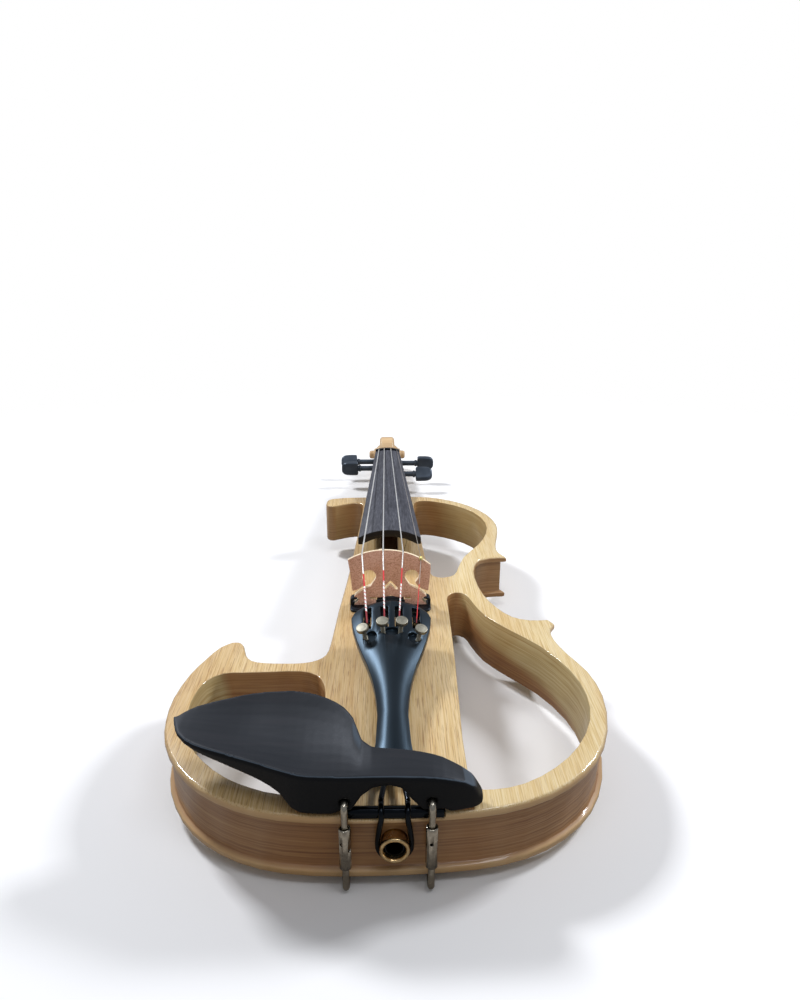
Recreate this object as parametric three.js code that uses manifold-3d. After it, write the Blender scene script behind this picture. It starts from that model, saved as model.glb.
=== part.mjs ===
// Electric violin with an open-frame body, drawn in millimetres.
// X runs to the treble side, Y from the tail end to the scroll and Z up out of the body's top.
// Sizes along the violin are measured from the tail edge. The whole is then moved so that the
// origin lies on the flat back, on the centre line under the bridge.

import * as THREE from 'three';
import Module from 'manifold-3d';
import { mergeVertices } from 'three/addons/utils/BufferGeometryUtils.js';

const solids = await Module();
solids.setup();

// Play between pieces, and how far a cutter runs past what it cuts
const clearance = 0.3;
const overrun = 4;

// Body
const bodyLength = 365;
const bodyStopShare = 0.5356164;
const boutHalf = 105;
const bodyThick = 31;
const plateEdge = 3.6;
const plateOverhang = 2.2;
const coveRise = 0.8;
const edgeRound = 1;
const runSteps = 2;
const bendSteps = 5;
const openingSteps = 2;
const slotWide = 11.6;
const slotDeep = 14;
const slotStartShare = 0.61;
const slotEndShare = 0.91;
const tenonHalf = 13;
const tenonDeep = 9;
const tenonFloor = 7;

// Outline runs as shares of the half bout and of the body's length, tail centre to tail centre
const lowerRightShares = [
  [0.048, -0.002], [0.320, 0.0036], [0.518, 0.0175], [0.693, 0.045], [0.836, 0.086], [0.935, 0.142],
  [0.983, 0.215], [0.964, 0.271], [0.902, 0.318], [0.863, 0.359], [0.863, 0.386], [0.900, 0.405],
];
const waistRightShares = [
  [0.872, 0.420], [0.771, 0.419], [0.684, 0.430], [0.610, 0.463], [0.555, 0.508], [0.529, 0.575],
  [0.546, 0.623], [0.590, 0.646], [0.657, 0.655], [0.771, 0.658],
];
const upperRightShares = [
  [0.771, 0.658], [0.733, 0.681], [0.723, 0.701], [0.740, 0.740], [0.775, 0.789], [0.785, 0.831],
  [0.743, 0.884], [0.634, 0.937], [0.489, 0.974], [0.334, 0.995], [0.174, 1.000],
];
const earOuterShares = [[-0.228, 0.997], [-0.343, 0.995], [-0.447, 0.988]];
const earEndShares = [
  [-0.447, 0.988], [-0.479, 0.980], [-0.487, 0.964], [-0.484, 0.948], [-0.460, 0.939], [-0.425, 0.938],
];
const earInnerShares = [
  [-0.425, 0.938], [-0.378, 0.946], [-0.302, 0.956], [-0.244, 0.959], [-0.209, 0.954], [-0.196, 0.940],
];
const coreLeftShares = [
  [-0.196, 0.940], [-0.213, 0.822], [-0.237, 0.696], [-0.264, 0.565], [-0.295, 0.455], [-0.316, 0.356],
  [-0.335, 0.322], [-0.375, 0.308], [-0.438, 0.301], [-0.533, 0.300], [-0.633, 0.302], [-0.699, 0.308],
  [-0.737, 0.323], [-0.764, 0.349], [-0.792, 0.359], [-0.833, 0.359],
];
const lowerLeftShares = [
  [-0.833, 0.359], [-0.887, 0.345], [-0.938, 0.312], [-0.983, 0.275], [-1.013, 0.218], [-1.003, 0.17],
  [-0.968, 0.128], [-0.876, 0.08], [-0.76, 0.045], [-0.605, 0.018], [-0.427, 0.0025], [-0.201, -0.0028],
  [0.048, -0.002],
];
const upperOpeningShares = [
  [0.196, 0.937], [0.215, 0.963], [0.276, 0.970], [0.368, 0.964], [0.517, 0.938], [0.642, 0.897],
  [0.706, 0.835], [0.687, 0.777], [0.607, 0.719], [0.490, 0.662], [0.434, 0.612], [0.403, 0.585],
  [0.333, 0.573], [0.269, 0.581], [0.247, 0.613], [0.230, 0.685], [0.210, 0.816],
];
const lowerOpeningShares = [
  [0.331, 0.471], [0.339, 0.502], [0.390, 0.515], [0.444, 0.507], [0.474, 0.479], [0.528, 0.433],
  [0.642, 0.386], [0.772, 0.338], [0.875, 0.273], [0.904, 0.214], [0.871, 0.159], [0.775, 0.108],
  [0.655, 0.072], [0.514, 0.046], [0.387, 0.037], [0.318, 0.040], [0.297, 0.066], [0.307, 0.204],
  [0.322, 0.329],
];
const leftOpeningShares = [
  [-0.919, 0.192], [-0.917, 0.222], [-0.890, 0.255], [-0.819, 0.273], [-0.724, 0.275], [-0.594, 0.276],
  [-0.449, 0.277], [-0.363, 0.267], [-0.321, 0.241], [-0.309, 0.208], [-0.307, 0.132], [-0.307, 0.060],
  [-0.333, 0.038], [-0.442, 0.034], [-0.559, 0.045], [-0.668, 0.062], [-0.776, 0.090], [-0.862, 0.125],
];

// Neck: its top plane runs straight from above the body's end down to the nut
const neckStop = 132.5;
const overstand = 5;
const nutDrop = 4.9;
const heelDeep = 34;
const neckDepthShares = [
  [0.004, 1], [0.03, 0.97], [0.07, 0.84], [0.12, 0.64], [0.18, 0.52], [0.28, 0.455], [0.5, 0.425],
  [0.8, 0.4], [1.02, 0.39],
];
const neckSides = 12;

// Pegbox and scroll: outline shares of the head's length past the nut and of its drop below the neck's top
const headLength = 107;
const headDrop = 44.6;
const headHalf = 12;
const throatHalf = 8;
const pegboxTopShares = [
  [-0.09, 0.02], [0, 0], [0.052, 0], [0.085, 0.13], [0.145, 0.204], [0.257, 0.262], [0.444, 0.303],
  [0.6, 0.334], [0.67, 0.41], [0.74, 0.53], [0.81, 0.56],
];
const pegboxBackShares = [
  [0.81, 1], [0.72, 0.985], [0.584, 0.92], [0.397, 0.84], [0.21, 0.785], [0.098, 0.738], [0.023, 0.641],
  [-0.033, 0.473], [-0.09, 0.335],
];
const pegboxCavityShares = [
  [0.067, -0.3], [0.067, 0.58], [0.1, 0.665], [0.4, 0.715], [0.56, 0.76], [0.615, 0.66], [0.612, 0.4],
  [0.612, -0.3],
];
const cavityHalfShare = 0.68;
const voluteAlongShare = 0.808;
const voluteDropShare = 0.531;
const voluteRadius = 20.9;
const voluteRadiusShares = [1, 0.98, 0.94, 0.79, 0.65, 0.55, 0.475, 0.4, 0.33, 0.275];
const voluteHalfShares = [1, 1, 1, 1.1, 1.25, 1.42, 1.6, 1.8, 2, 2.2];
const voluteEdgeShare = 0.26;
const eyeHalf = 19.9;
const eyeRadius = 4.6;
const eyeEdge = 1.4;
const voluteSteps = 6;
const voluteCoreShare = 0.5;
const voluteCoreTurn = 4;

// Fingerboard
const boardLength = 269.8;
const boardEdge = 4.9;
const boardEndHalf = 20.9;
const boardNutHalf = 12;
const boardRadius = 42.4;
const boardHollowFoot = 2.6;
const boardHollowCrown = 5.4;
const boardArcSteps = 12;

// Nut and saddle
const nutDeep = 5.2;
const nutRise = 1;
const saddleHalf = 19.5;
const saddleDeep = 5.4;
const saddleSunk = 2;
const saddleRise = 2.3;
const saddleFrontShare = 0.28;

// Strings: G, D, A and E, with their places at the bridge, the nut and the tailpiece
const stringNames = ['g', 'd', 'a', 'e'];
const gRadius = 0.42;
const dRadius = 0.38;
const aRadius = 0.34;
const eRadius = 0.2;
const bridgeStringShares = { g: -0.681, d: -0.173, a: 0.306, e: 0.741 };
const nutStringShares = { g: -0.71, d: -0.27, a: 0.28, e: 0.78 };
const stringLift = 0.8;
const stringSides = 6;
const grooveSides = 8;
const loopSteps = 24;
const coilTurnCount = 2;
const coilGap = 0.5;

// Pegs
const pegAlongShares = { e: 0.138, g: 0.276, a: 0.43, d: 0.551 };
const pegDropShares = { e: 0.525, g: 0.487, a: 0.48, d: 0.532 };
const pegSmallRadius = 3.4;
const pegLargeRadius = 3.9;
const pegStemRadius = 2.7;
const pegHeadStarts = { g: 31, d: 33, a: 32.4, e: 29.4 };
const pegHeadLength = 17;
const pegHeadHalf = 7.7;
const pegHeadThick = 7;
const pegHeadSides = 12;
const pegHeadSquareShare = 0.5;
const pegStub = 0.6;
const pegSegments = 16;
const pegHeadShares = [[0, 0.93], [0.05, 1], [0.5, 0.99], [0.8, 0.88], [0.94, 0.66], [1, 0.38]];
const pegRestTurns = { g: 0.04, d: -0.09, a: 0.02, e: -0.12 };

// Bridge: outline in width along X and height over the body's top
const bridgeBase = 1.9;
const bridgeHeight = 37.5;
const bridgeHalf = 24.3;
const bridgeTopRadius = 42;
const bridgeTopShift = -3;
const bridgeCrestShift = -0.6;
const bridgeTopThick = 1.6;
const bridgeFootThick = 4.4;
const bridgeEyeRadius = 4.2;
const bridgeEyeAcross = 12.6;
const bridgeEyeHeight = 20.7;
const bridgeArcSteps = 14;
const bridgeEyeSteps = 14;
const bridgeSideShares = [
  [0.885, 0.05], [0.885, 0.068], [0.79, 0.124], [0.775, 0.155], [0.805, 0.182], [0.885, 0.196],
  [0.86, 0.224], [0.735, 0.285], [0.623, 0.341], [0.48, 0.384], [0.417, 0.45],
];
const bridgeWingShares = [
  [0.608, 0.44], [0.67, 0.384], [0.78, 0.328], [0.925, 0.298], [0.948, 0.44], [0.974, 0.62],
];
const bridgeArchShares = [
  [0.355, 0.05], [0.355, 0.155], [0.49, 0.148], [0.49, 0.19], [0.33, 0.181], [0.17, 0.186], [0, 0.216],
];
const bridgeHeartShares = [
  [0, 0.478], [0.185, 0.35], [0.175, 0.32], [0.12, 0.322], [0, 0.4], [-0.12, 0.322], [-0.175, 0.32],
  [-0.185, 0.35],
];
const protectorRadius = 0.9;
const protectorLong = 2.6;

// Pickup tray that holds the bridge's feet
const trayHalf = 24;
const trayDeep = 13.6;
const trayShift = 1.6;
const trayCorner = 3;
const trayCornerSteps = 4;
const trayFloor = 1.3;
const trayBlockHalf = 8.1;
const trayBlockHigh = 5.2;
const trayClipShares = [
  [0.942, 0.26], [0.942, 0.62], [0.9, 0.78], [0.83, 0.82], [0.82, 0.94], [0.9, 1], [0.965, 0.93], [1, 0.72],
];
const trayClipHigh = 6.6;

// Tailpiece, in its own frame: front edge at zero, tail end at minus its length, top crown at zero
const tailLength = 114;
const tailEndAlong = 17;
const tailFrontRise = 24.6;
const tailEndRise = 9.53;
const tailHalf = 21.2;
const tailBottom = 7.8;
const tailCrown = 4.6;
const tailCrownExponent = 2.4;
const tailWall = 1.6;
const tailTop = 2.4;
const tailSides = 14;
const tailWidthShares = [
  [0, 0.4], [0.009, 0.66], [0.027, 0.83], [0.05, 0.935], [0.085, 1], [0.165, 0.952], [0.26, 0.838],
  [0.345, 0.71], [0.425, 0.575], [0.505, 0.467], [0.58, 0.394], [0.655, 0.351], [0.725, 0.328],
  [0.87, 0.36], [0.96, 0.41], [0.99, 0.38], [1, 0.28],
];
const tailCrownShares = [
  [0, 0.55], [0.027, 0.9], [0.085, 1], [0.425, 0.86], [0.655, 0.78], [1, 0.62],
];
const tailHollowShares = [0.36, 0.86];
const tailHollowStations = 6;

// Fine tuners in the tailpiece
const tunerAcross = { g: -12.6, d: -3.6, a: 4, e: 13.1 };
const tunerSink = { g: 2.2, d: 0.6, a: 0.6, e: 2.2 };
const tunerScrewAcross = { g: -13.2, d: -4.3, a: 4.6, e: 13.6 };
const tunerScrewBack = { g: 29.4, d: 26.8, a: 26.6, e: 30.4 };
const tunerLean = { g: -13, d: -3, a: 5, e: 11 };
const tunerTiltAngle = 6;
const channelWide = 4.2;
const channelFront = 5;
const channelBack = 34;
const slotBack = 22.9;
const recessDeep = 1.8;
const leverWide = 3;
const leverPinBack = 17;
const leverPinDrop = 5.6;
const leverThick = 2;
const leverArm = 15.6;
const leverBoss = 1.9;
const leverNose = 10.6;
const leverNoseDrop = 1.6;
const leverRise = 1.3;
const pinRadius = 0.8;
const pinSides = 8;
const pinOverlap = 1.4;
const forkSlot = 1.5;
const ballRadius = 1.6;
const ballLong = 3;
const screwRadius = 1.1;
const knobRadius = 3.15;
const knobThick = 2.2;
const knobLift = 5.4;
const knobDome = 0.5;
const knobSegments = 20;
const recessRadius = 3;
const recessLong = 4.2;
const recessInward = { g: 2.7, e: -2.5 };
const middleRecessHalf = 4.2;
const middleRecessLong = 3.4;

// Tail gut
const gutRadius = 1.15;
const gutHalf = 3.4;
const gutSaddleHalf = 5.2;
const gutKnot = 1.9;
const gutHoleDrop = 5;
const gutSides = 8;
const gutSteps = 3;

// End-pin jack
const jackDrop = 13.8;
const jackReach = 4.2;
const jackRingRadius = 6.05;
const jackRingThick = 2.1;
const jackCollarRadius = 4.9;
const jackMouthRadius = 4.5;
const jackBore = 4.25;
const jackDeep = 30;
const sleeveWall = 0.6;
const sleeveDeep = 26;
const contactRadius = 1.2;
const contactDeep = 3;
const jackSegments = 24;

// Pickup lead through the body
const leadRadius = 1;
const leadBore = 2;
const leadBend = 3.4;
const leadSides = 8;

// Chinrest: rim stations as shares of its length and depth, then heights over the body's top
const chinLength = 127.5;
const chinLeft = -92.4;
const chinDepth = 48;
const chinHeight = 25;
const chinStations = 32;
const chinNearShares = [
  [0, 0.71, 0.88], [0.012, 0.6, 0.872], [0.041, 0.45, 0.864], [0.09, 0.345, 0.86], [0.16, 0.26, 0.852],
  [0.26, 0.155, 0.84], [0.352, 0.056, 0.824], [0.42, -0.014, 0.812], [0.47, -0.04, 0.802],
  [0.53, -0.046, 0.796], [0.62, -0.046, 0.785], [0.68, -0.044, 0.78], [0.76, -0.044, 0.77],
  [0.84, -0.042, 0.75], [0.89, -0.036, 0.7], [0.94, -0.012, 0.6], [0.972, 0.012, 0.46], [1, 0.05, 0.24],
];
const chinFarShares = [
  [0, 0.71, 0.88], [0.05, 0.815, 0.92], [0.174, 0.94, 0.96], [0.278, 1.005, 0.98], [0.372, 1.01, 1],
  [0.442, 0.973, 1], [0.512, 0.89, 0.98], [0.566, 0.77, 0.96], [0.595, 0.64, 0.94], [0.612, 0.485, 0.92],
  [0.626, 0.36, 0.908], [0.65, 0.285, 0.9], [0.7, 0.275, 0.88], [0.76, 0.275, 0.85], [0.82, 0.27, 0.8],
  [0.87, 0.257, 0.74], [0.914, 0.237, 0.64], [0.946, 0.23, 0.54], [0.97, 0.22, 0.44], [0.992, 0.185, 0.28],
  [1, 0.16, 0.24],
];
const chinUnderShares = [
  [0, 0.82], [0.035, 0.79], [0.09, 0.71], [0.22, 0.585], [0.325, 0.465], [0.375, 0.34], [0.398, 0.2],
  [0.42, 0.05], [0.535, 0.05], [0.56, 0.12], [0.59, 0.12], [0.612, 0.3], [0.645, 0.5], [0.68, 0.585],
  [0.715, 0.585], [0.745, 0.54], [0.77, 0.4], [0.79, 0.2], [0.805, 0.12], [0.885, 0.12], [0.9, 0.05],
  [0.985, 0.05], [1, 0.12],
];
const chinThickShares = [
  [0, 0.08], [0.1, 0.14], [0.4, 0.18], [0.6, 0.24], [0.8, 0.28], [0.9, 0.42], [0.96, 0.4], [1, 0.1],
];
const chinFootShare = 0.235;
const footSpanShare = 0.55;
const footInsideShare = 0.3;
const footLips = 3;
const rimShare = 0.07;
const rimThickShare = 0.8;
const chinTipStations = [0.009, 0.02, 0.978, 0.991];
const chinTipShare = 0.002;
const chinDishShares = [
  [0, 0], [0.08, 0.05], [0.25, 0.2], [0.42, 0.24], [0.54, 0.16], [0.64, 0.02], [0.75, -0.03], [1, -0.02],
];
const chinTopSteps = 8;
const corkThick = 0.8;
const corkInset = 1.4;
const leftFootSpanShares = [0.41, 0.535];
const rightFootSpanShares = [0.9, 0.982];

// Chinrest clamp
const clampMiddle = -2.4;
const clampHalf = 16.9;
const clampForward = 3.3;
const rodRadius = 1.45;
const rodBend = 2.2;
const rodRise = 7.3;
const rodInward = 8;
const rodSides = 10;
const barrelRadius = 2.5;
const barrelTopDrop = 2.2;
const barrelLong = 19.6;
const barrelHole = 0.8;
const barrelRestAngles = { l: 50, r: 84 };
const barrelHoleShares = [0.643, 0.493];
const barrelSegments = 16;
const rodEngage = 6;
const footPlateThick = 2;
const footPlateHalf = 23;
const footPlateDeep = 11;
const footPlateStart = 5.8;

// Looks
const looks = {
  wood: [0xd9b777, 0.32, 0], board: [0x2b2b2f, 0.55, 0], black: [0x101012, 0.35, 0],
  ebony: [0x1d1d20, 0.5, 0], bridgeWood: [0xa9705a, 0.7, 0], tray: [0x0b0b0c, 0.45, 0],
  steel: [0xc9c9c6, 0.3, 0.9], nickel: [0xb9b6ae, 0.28, 0.95], brass: [0xc08a3e, 0.28, 0.95],
  cork: [0xa97f52, 0.95, 0], gut: [0x0c0c0d, 0.2, 0], bead: [0xe3c64a, 0.5, 0],
  lead: [0x161616, 0.6, 0], pin: [0x9a9a98, 0.3, 0.9],
};

// Places that the sizes above give
const bridgeAlong = bodyLength * (1 - bodyStopShare);
const nutAlong = bodyLength + neckStop;
const boardEndAlong = nutAlong - boardLength;
const neckTopAtNut = bodyThick - nutDrop;
const neckPitch = (overstand + nutDrop) / neckStop;
const tailEdgeAlong = lowerRightShares[0][1] * bodyLength;
const stringRadii = { g: gRadius, d: dRadius, a: aRadius, e: eRadius };
const bridgeFace = bridgeAlong - bridgeTopThick / 2;
const jackHeight = bodyThick - jackDrop;
const gutLoopRadius = jackCollarRadius + 2 * clearance + gutRadius;
const barrelTop = bodyThick - barrelTopDrop;
const barrelBottom = barrelTop - barrelLong;
const clampAlong = tailEdgeAlong - clampForward;
const corkTop = bodyThick + clearance + corkThick;
const footPlateTop = -clearance - corkThick - clearance;

// Shorthand for vectors, and the reading of a table of shares
const vec = (x, y, z) => new THREE.Vector3(x, y, z);
const boreRound = (radius, segments) => (radius + clearance) / Math.cos(Math.PI / segments);
const neckTopAt = (along) => neckTopAtNut + neckPitch * (nutAlong - along);
const boardHalfAt = (along) => {
  const toNut = (along - boardEndAlong) / boardLength;
  return boardEndHalf + (boardNutHalf - boardEndHalf) * toNut;
};

// Between its rows a table is read along a curve that never swings past the rows' own values
function readShares(table, at) {
  const last = table.length - 1;
  if (at <= table[0][0]) return table[0].slice(1);
  if (at >= table[last][0]) return table[last].slice(1);
  const next = table.findIndex((row) => row[0] > at);
  const span = table[next][0] - table[next - 1][0];
  const part = (at - table[next - 1][0]) / span;
  const slope = (row, column) => {
    if (row === 0 || row === last) return 0;
    const before = (table[row][column] - table[row - 1][column]) / (table[row][0] - table[row - 1][0]);
    const after = (table[row + 1][column] - table[row][column]) / (table[row + 1][0] - table[row][0]);
    return before * after > 0 ? (2 * before * after) / (before + after) : 0;
  };
  return table[next].slice(1).map((end, k) => {
    const start = table[next - 1][k + 1];
    const rise = end - start;
    const leave = slope(next - 1, k + 1) * span;
    const arrive = slope(next, k + 1) * span;
    const bend = leave + arrive - 2 * rise;
    return start + part * (leave + part * (rise - leave - bend * (1 - part)));
  });
}

// A closed mesh from corner points and faces, turned so that its faces point out
function closedMesh(corners, faces) {
  let volume = 0;
  faces.forEach(([a, b, c]) => {
    volume += corners[a].dot(corners[b].clone().cross(corners[c]));
  });
  const geometry = new THREE.BufferGeometry();
  const places = corners.flatMap((p) => [p.x, p.y, p.z]);
  geometry.setAttribute('position', new THREE.Float32BufferAttribute(places, 3));
  geometry.setIndex(faces.flatMap(([a, b, c]) => (volume > 0 ? [a, b, c] : [a, c, b])));
  return geometry;
}

// A solid through rings of as many points each; the ends close on fans round their middles
function loft(rings) {
  const count = rings[0].length;
  const corners = rings.flat();
  const faces = [];
  for (let r = 0; r < rings.length - 1; r += 1) {
    for (let k = 0; k < count; k += 1) {
      const a = r * count + k;
      const b = r * count + ((k + 1) % count);
      faces.push([a, b, b + count], [a, b + count, a + count]);
    }
  }
  [0, rings.length - 1].forEach((r) => {
    const middle = rings[r].reduce((sum, p) => sum.add(p), vec(0, 0, 0)).divideScalar(count);
    corners.push(middle);
    const hub = corners.length - 1;
    for (let k = 0; k < count; k += 1) {
      const a = r * count + k;
      const b = r * count + ((k + 1) % count);
      faces.push(r === 0 ? [hub, b, a] : [hub, a, b]);
    }
  });
  return closedMesh(corners, faces);
}

// A round tube through chosen points, with its section carried along without twist
function tube(points, radius, sides) {
  const rings = [];
  let side = null;
  points.forEach((point, k) => {
    const before = points[Math.max(k - 1, 0)];
    const after = points[Math.min(k + 1, points.length - 1)];
    const ahead = after.clone().sub(before).normalize();
    if (side === null) side = Math.abs(ahead.z) > 0.9 ? vec(1, 0, 0) : vec(0, 0, 1);
    side = side.clone().addScaledVector(ahead, -side.dot(ahead)).normalize();
    const up = ahead.clone().cross(side);
    const ring = [];
    for (let s = 0; s < sides; s += 1) {
      const angle = (2 * Math.PI * s) / sides;
      const arm = side.clone().multiplyScalar(Math.cos(angle)).addScaledVector(up, Math.sin(angle));
      ring.push(point.clone().addScaledVector(arm, radius));
    }
    rings.push(ring);
  });
  return loft(rings);
}

// Geometry in and out of the solid library, which joins and cuts
function solidOf(geometry) {
  const plain = geometry.clone();
  plain.deleteAttribute('normal');
  plain.deleteAttribute('uv');
  const merged = mergeVertices(plain, 1e-5);
  return new solids.Manifold(new solids.Mesh({
    numProp: 3,
    vertProperties: new Float32Array(merged.attributes.position.array),
    triVerts: new Uint32Array(merged.index.array),
  }));
}

function geometryOf(solid) {
  const mesh = solid.getMesh();
  const geometry = new THREE.BufferGeometry();
  geometry.setAttribute('position', new THREE.BufferAttribute(mesh.vertProperties, 3));
  geometry.setIndex(new THREE.BufferAttribute(mesh.triVerts, 1));
  return geometry;
}

const join = (...pieces) => geometryOf(pieces.map(solidOf).reduce((sum, next) => sum.add(next)));
const cut = (base, ...tools) => geometryOf(
  tools.map(solidOf).reduce((sum, tool) => sum.subtract(tool), solidOf(base)),
);

// Boxes, round bars and prisms, each set in place
function box(low, high) {
  const size = high.clone().sub(low);
  const middle = low.clone().add(high).divideScalar(2);
  return new THREE.BoxGeometry(size.x, size.y, size.z).translate(middle.x, middle.y, middle.z);
}

function bar(from, to, radius, segments) {
  const along = to.clone().sub(from);
  const turn = new THREE.Quaternion().setFromUnitVectors(vec(0, 1, 0), along.clone().normalize());
  const middle = from.clone().add(to).divideScalar(2);
  return new THREE.CylinderGeometry(radius, radius, along.length(), segments)
    .applyQuaternion(turn)
    .translate(middle.x, middle.y, middle.z);
}

function prism(outline, holes, depth) {
  const shape = new THREE.Shape(outline);
  holes.forEach((hole) => shape.holes.push(new THREE.Path(hole)));
  return new THREE.ExtrudeGeometry(shape, { depth, bevelEnabled: false, curveSegments: 12 });
}

// A prism whose outline lies across X and Z, standing from one place along Y to another
function standing(outline, holes, from, to) {
  const geometry = prism(outline, holes, to - from);
  return geometry.rotateX(Math.PI / 2).translate(0, to, 0);
}

// A prism whose outline lies along Y and Z, from one place across X to another
function sideways(outline, from, to) {
  const geometry = prism(outline, [], to - from);
  const turn = new THREE.Matrix4().makeBasis(vec(0, 1, 0), vec(0, 0, 1), vec(1, 0, 0));
  return geometry.applyMatrix4(turn).translate(from, 0, 0);
}

// A turned piece: profile points are radius and place, about an axis laid along the given direction
function turned(profile, from, direction, segments) {
  const turn = new THREE.Quaternion().setFromUnitVectors(vec(0, 1, 0), direction.clone().normalize());
  const lathe = new THREE.LatheGeometry(profile.map(([r, t]) => new THREE.Vector2(r, t)), segments);
  return geometryOf(solidOf(lathe.applyQuaternion(turn).translate(from.x, from.y, from.z)));
}

function smoothLoop(shares, steps) {
  const knots = shares.map(([across, along]) => vec(across * boutHalf, along * bodyLength, 0));
  const curve = new THREE.CatmullRomCurve3(knots, true, 'centripetal');
  return curve.getPoints(knots.length * steps).slice(0, -1);
}

function smoothRun(shares, steps) {
  const knots = shares.map(([across, along]) => vec(across * boutHalf, along * bodyLength, 0));
  const curve = new THREE.CatmullRomCurve3(knots, false, 'centripetal');
  return curve.getPoints((knots.length - 1) * steps);
}

const root = new THREE.Group();
const violin = new THREE.Group();
violin.position.y = -bridgeAlong;
root.add(violin);

function addPiece(name, geometry, look, parent = violin) {
  const [color, roughness, metalness] = looks[look];
  const piece = new THREE.Mesh(geometry, new THREE.MeshStandardMaterial({ color, roughness, metalness }));
  piece.name = name;
  parent.add(piece);
  return piece;
}

// Body: a slab whose outer side is coved between two overhanging edges, with three windows
function bodyContour() {
  const runs = [
    [lowerRightShares, 1], [waistRightShares, 1], [upperRightShares, 1], [earOuterShares, 1],
    [earEndShares, 0], [earInnerShares, 0], [coreLeftShares, 0], [lowerLeftShares, 1],
  ];
  const points = [];
  runs.forEach(([shares, overhangs]) => {
    smoothRun(shares, runSteps).forEach((p) => {
      const last = points[points.length - 1];
      if (last && last.at.distanceTo(p) < clearance) last.overhangs = Math.min(last.overhangs, overhangs);
      else points.push({ at: p, overhangs });
    });
  });
  points.pop();
  const neckEnds = [upperRightShares[upperRightShares.length - 1], earOuterShares[0]];
  points.forEach((p) => {
    const atNeck = neckEnds.some(([across, along]) => {
      const end = vec(across * boutHalf, along * bodyLength, 0);
      return end.distanceTo(p.at) < clearance;
    });
    if (atNeck) p.overhangs = 0;
  });
  return points;
}

function insetPoint(points, k, depth) {
  const count = points.length;
  const here = points[k].at;
  const before = points[(k + count - 1) % count].at;
  const after = points[(k + 1) % count].at;
  const inFrom = here.clone().sub(before).normalize();
  const outTo = after.clone().sub(here).normalize();
  const normalIn = vec(-inFrom.y, inFrom.x, 0);
  const normalOut = vec(-outTo.y, outTo.x, 0);
  const middle = normalIn.add(normalOut).normalize();
  const stretch = 1 / Math.max(middle.dot(normalOut), 1 / 2);
  return here.clone().addScaledVector(middle, depth * stretch);
}

function bodySlab() {
  const contour = bodyContour();
  const windows = [upperOpeningShares, lowerOpeningShares, leftOpeningShares]
    .map((shares) => smoothLoop(shares, openingSteps))
    .map((loop) => (THREE.ShapeUtils.isClockWise(loop) ? loop : loop.reverse()));
  const cove = plateEdge + coveRise;
  const levels = [
    [0, edgeRound, 0], [edgeRound, 0, 0], [plateEdge, 0, 0], [cove, 0, plateOverhang],
    [bodyThick - cove, 0, plateOverhang], [bodyThick - plateEdge, 0, 0], [bodyThick - edgeRound, 0, 0],
    [bodyThick, edgeRound, 0],
  ];
  const corners = [];
  const faces = [];
  const count = contour.length;
  levels.forEach(([height, round, recess]) => {
    contour.forEach((p, k) => {
      const corner = insetPoint(contour, k, round + recess * p.overhangs);
      corner.z = height;
      corners.push(corner);
    });
  });
  for (let level = 0; level < levels.length - 1; level += 1) {
    for (let k = 0; k < count; k += 1) {
      const a = level * count + k;
      const b = level * count + ((k + 1) % count);
      faces.push([a, b, b + count], [a, b + count, a + count]);
    }
  }
  const floorWindows = [];
  const topWindows = [];
  windows.forEach((loop) => {
    const low = loop.map((p) => corners.push(vec(p.x, p.y, 0)) - 1);
    const high = loop.map((p) => corners.push(vec(p.x, p.y, bodyThick)) - 1);
    low.forEach((a, k) => {
      const next = (k + 1) % low.length;
      faces.push([a, low[next], high[next]], [a, high[next], high[k]]);
    });
    floorWindows.push(low);
    topWindows.push(high);
  });
  const cap = (outer, holes, upward) => {
    const order = [...outer, ...holes.flat()];
    const pointsOf = (loop) => loop.map((k) => corners[k]);
    THREE.ShapeUtils.triangulateShape(pointsOf(outer), holes.map(pointsOf)).forEach(([a, b, c]) => {
      faces.push([order[a], order[upward ? b : c], order[upward ? c : b]]);
    });
  };
  cap(contour.map((_, k) => k), floorWindows, false);
  cap(contour.map((_, k) => (levels.length - 1) * count + k), topWindows, true);
  return closedMesh(corners, faces);
}

function makeBody() {
  const slot = box(
    vec(-slotWide / 2, slotStartShare * bodyLength, bodyThick - slotDeep),
    vec(slotWide / 2, slotEndShare * bodyLength, bodyThick + overrun),
  );
  const mortise = box(
    vec(-tenonHalf - clearance, bodyLength - tenonDeep - clearance, tenonFloor - clearance),
    vec(tenonHalf + clearance, bodyLength + overrun, bodyThick + overrun),
  );
  const rebate = box(
    vec(-saddleHalf - clearance, tailEdgeAlong - overrun, bodyThick - saddleSunk),
    vec(saddleHalf + clearance, tailEdgeAlong + saddleDeep + clearance, bodyThick + overrun),
  );
  const jackBoreCut = bar(
    vec(0, tailEdgeAlong - overrun, jackHeight),
    vec(0, tailEdgeAlong + jackDeep + overrun, jackHeight),
    boreRound(jackCollarRadius, jackSegments),
    jackSegments,
  );
  const leadBoreCut = bar(
    vec(0, tailEdgeAlong + jackDeep, jackHeight),
    vec(0, bridgeAlong + leadBore, jackHeight),
    leadBore,
    leadSides,
  );
  const leadRiserCut = bar(
    vec(0, bridgeAlong, jackHeight),
    vec(0, bridgeAlong, bodyThick + overrun),
    leadBore,
    leadSides,
  );
  addPiece('body', cut(bodySlab(), slot, mortise, rebate, jackBoreCut, leadBoreCut, leadRiserCut), 'wood');
}

// Neck: rounded shaft and heel, pegbox with its cavity, and a scroll wound as a spiral stair
function neckSection(along, depth) {
  const half = boardHalfAt(along) - clearance;
  const top = neckTopAt(along);
  const ring = [];
  for (let k = 0; k <= neckSides; k += 1) {
    const angle = (Math.PI * k) / neckSides;
    ring.push(vec(half * Math.cos(angle), along, top - depth * Math.sin(angle)));
  }
  return ring;
}

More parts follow.
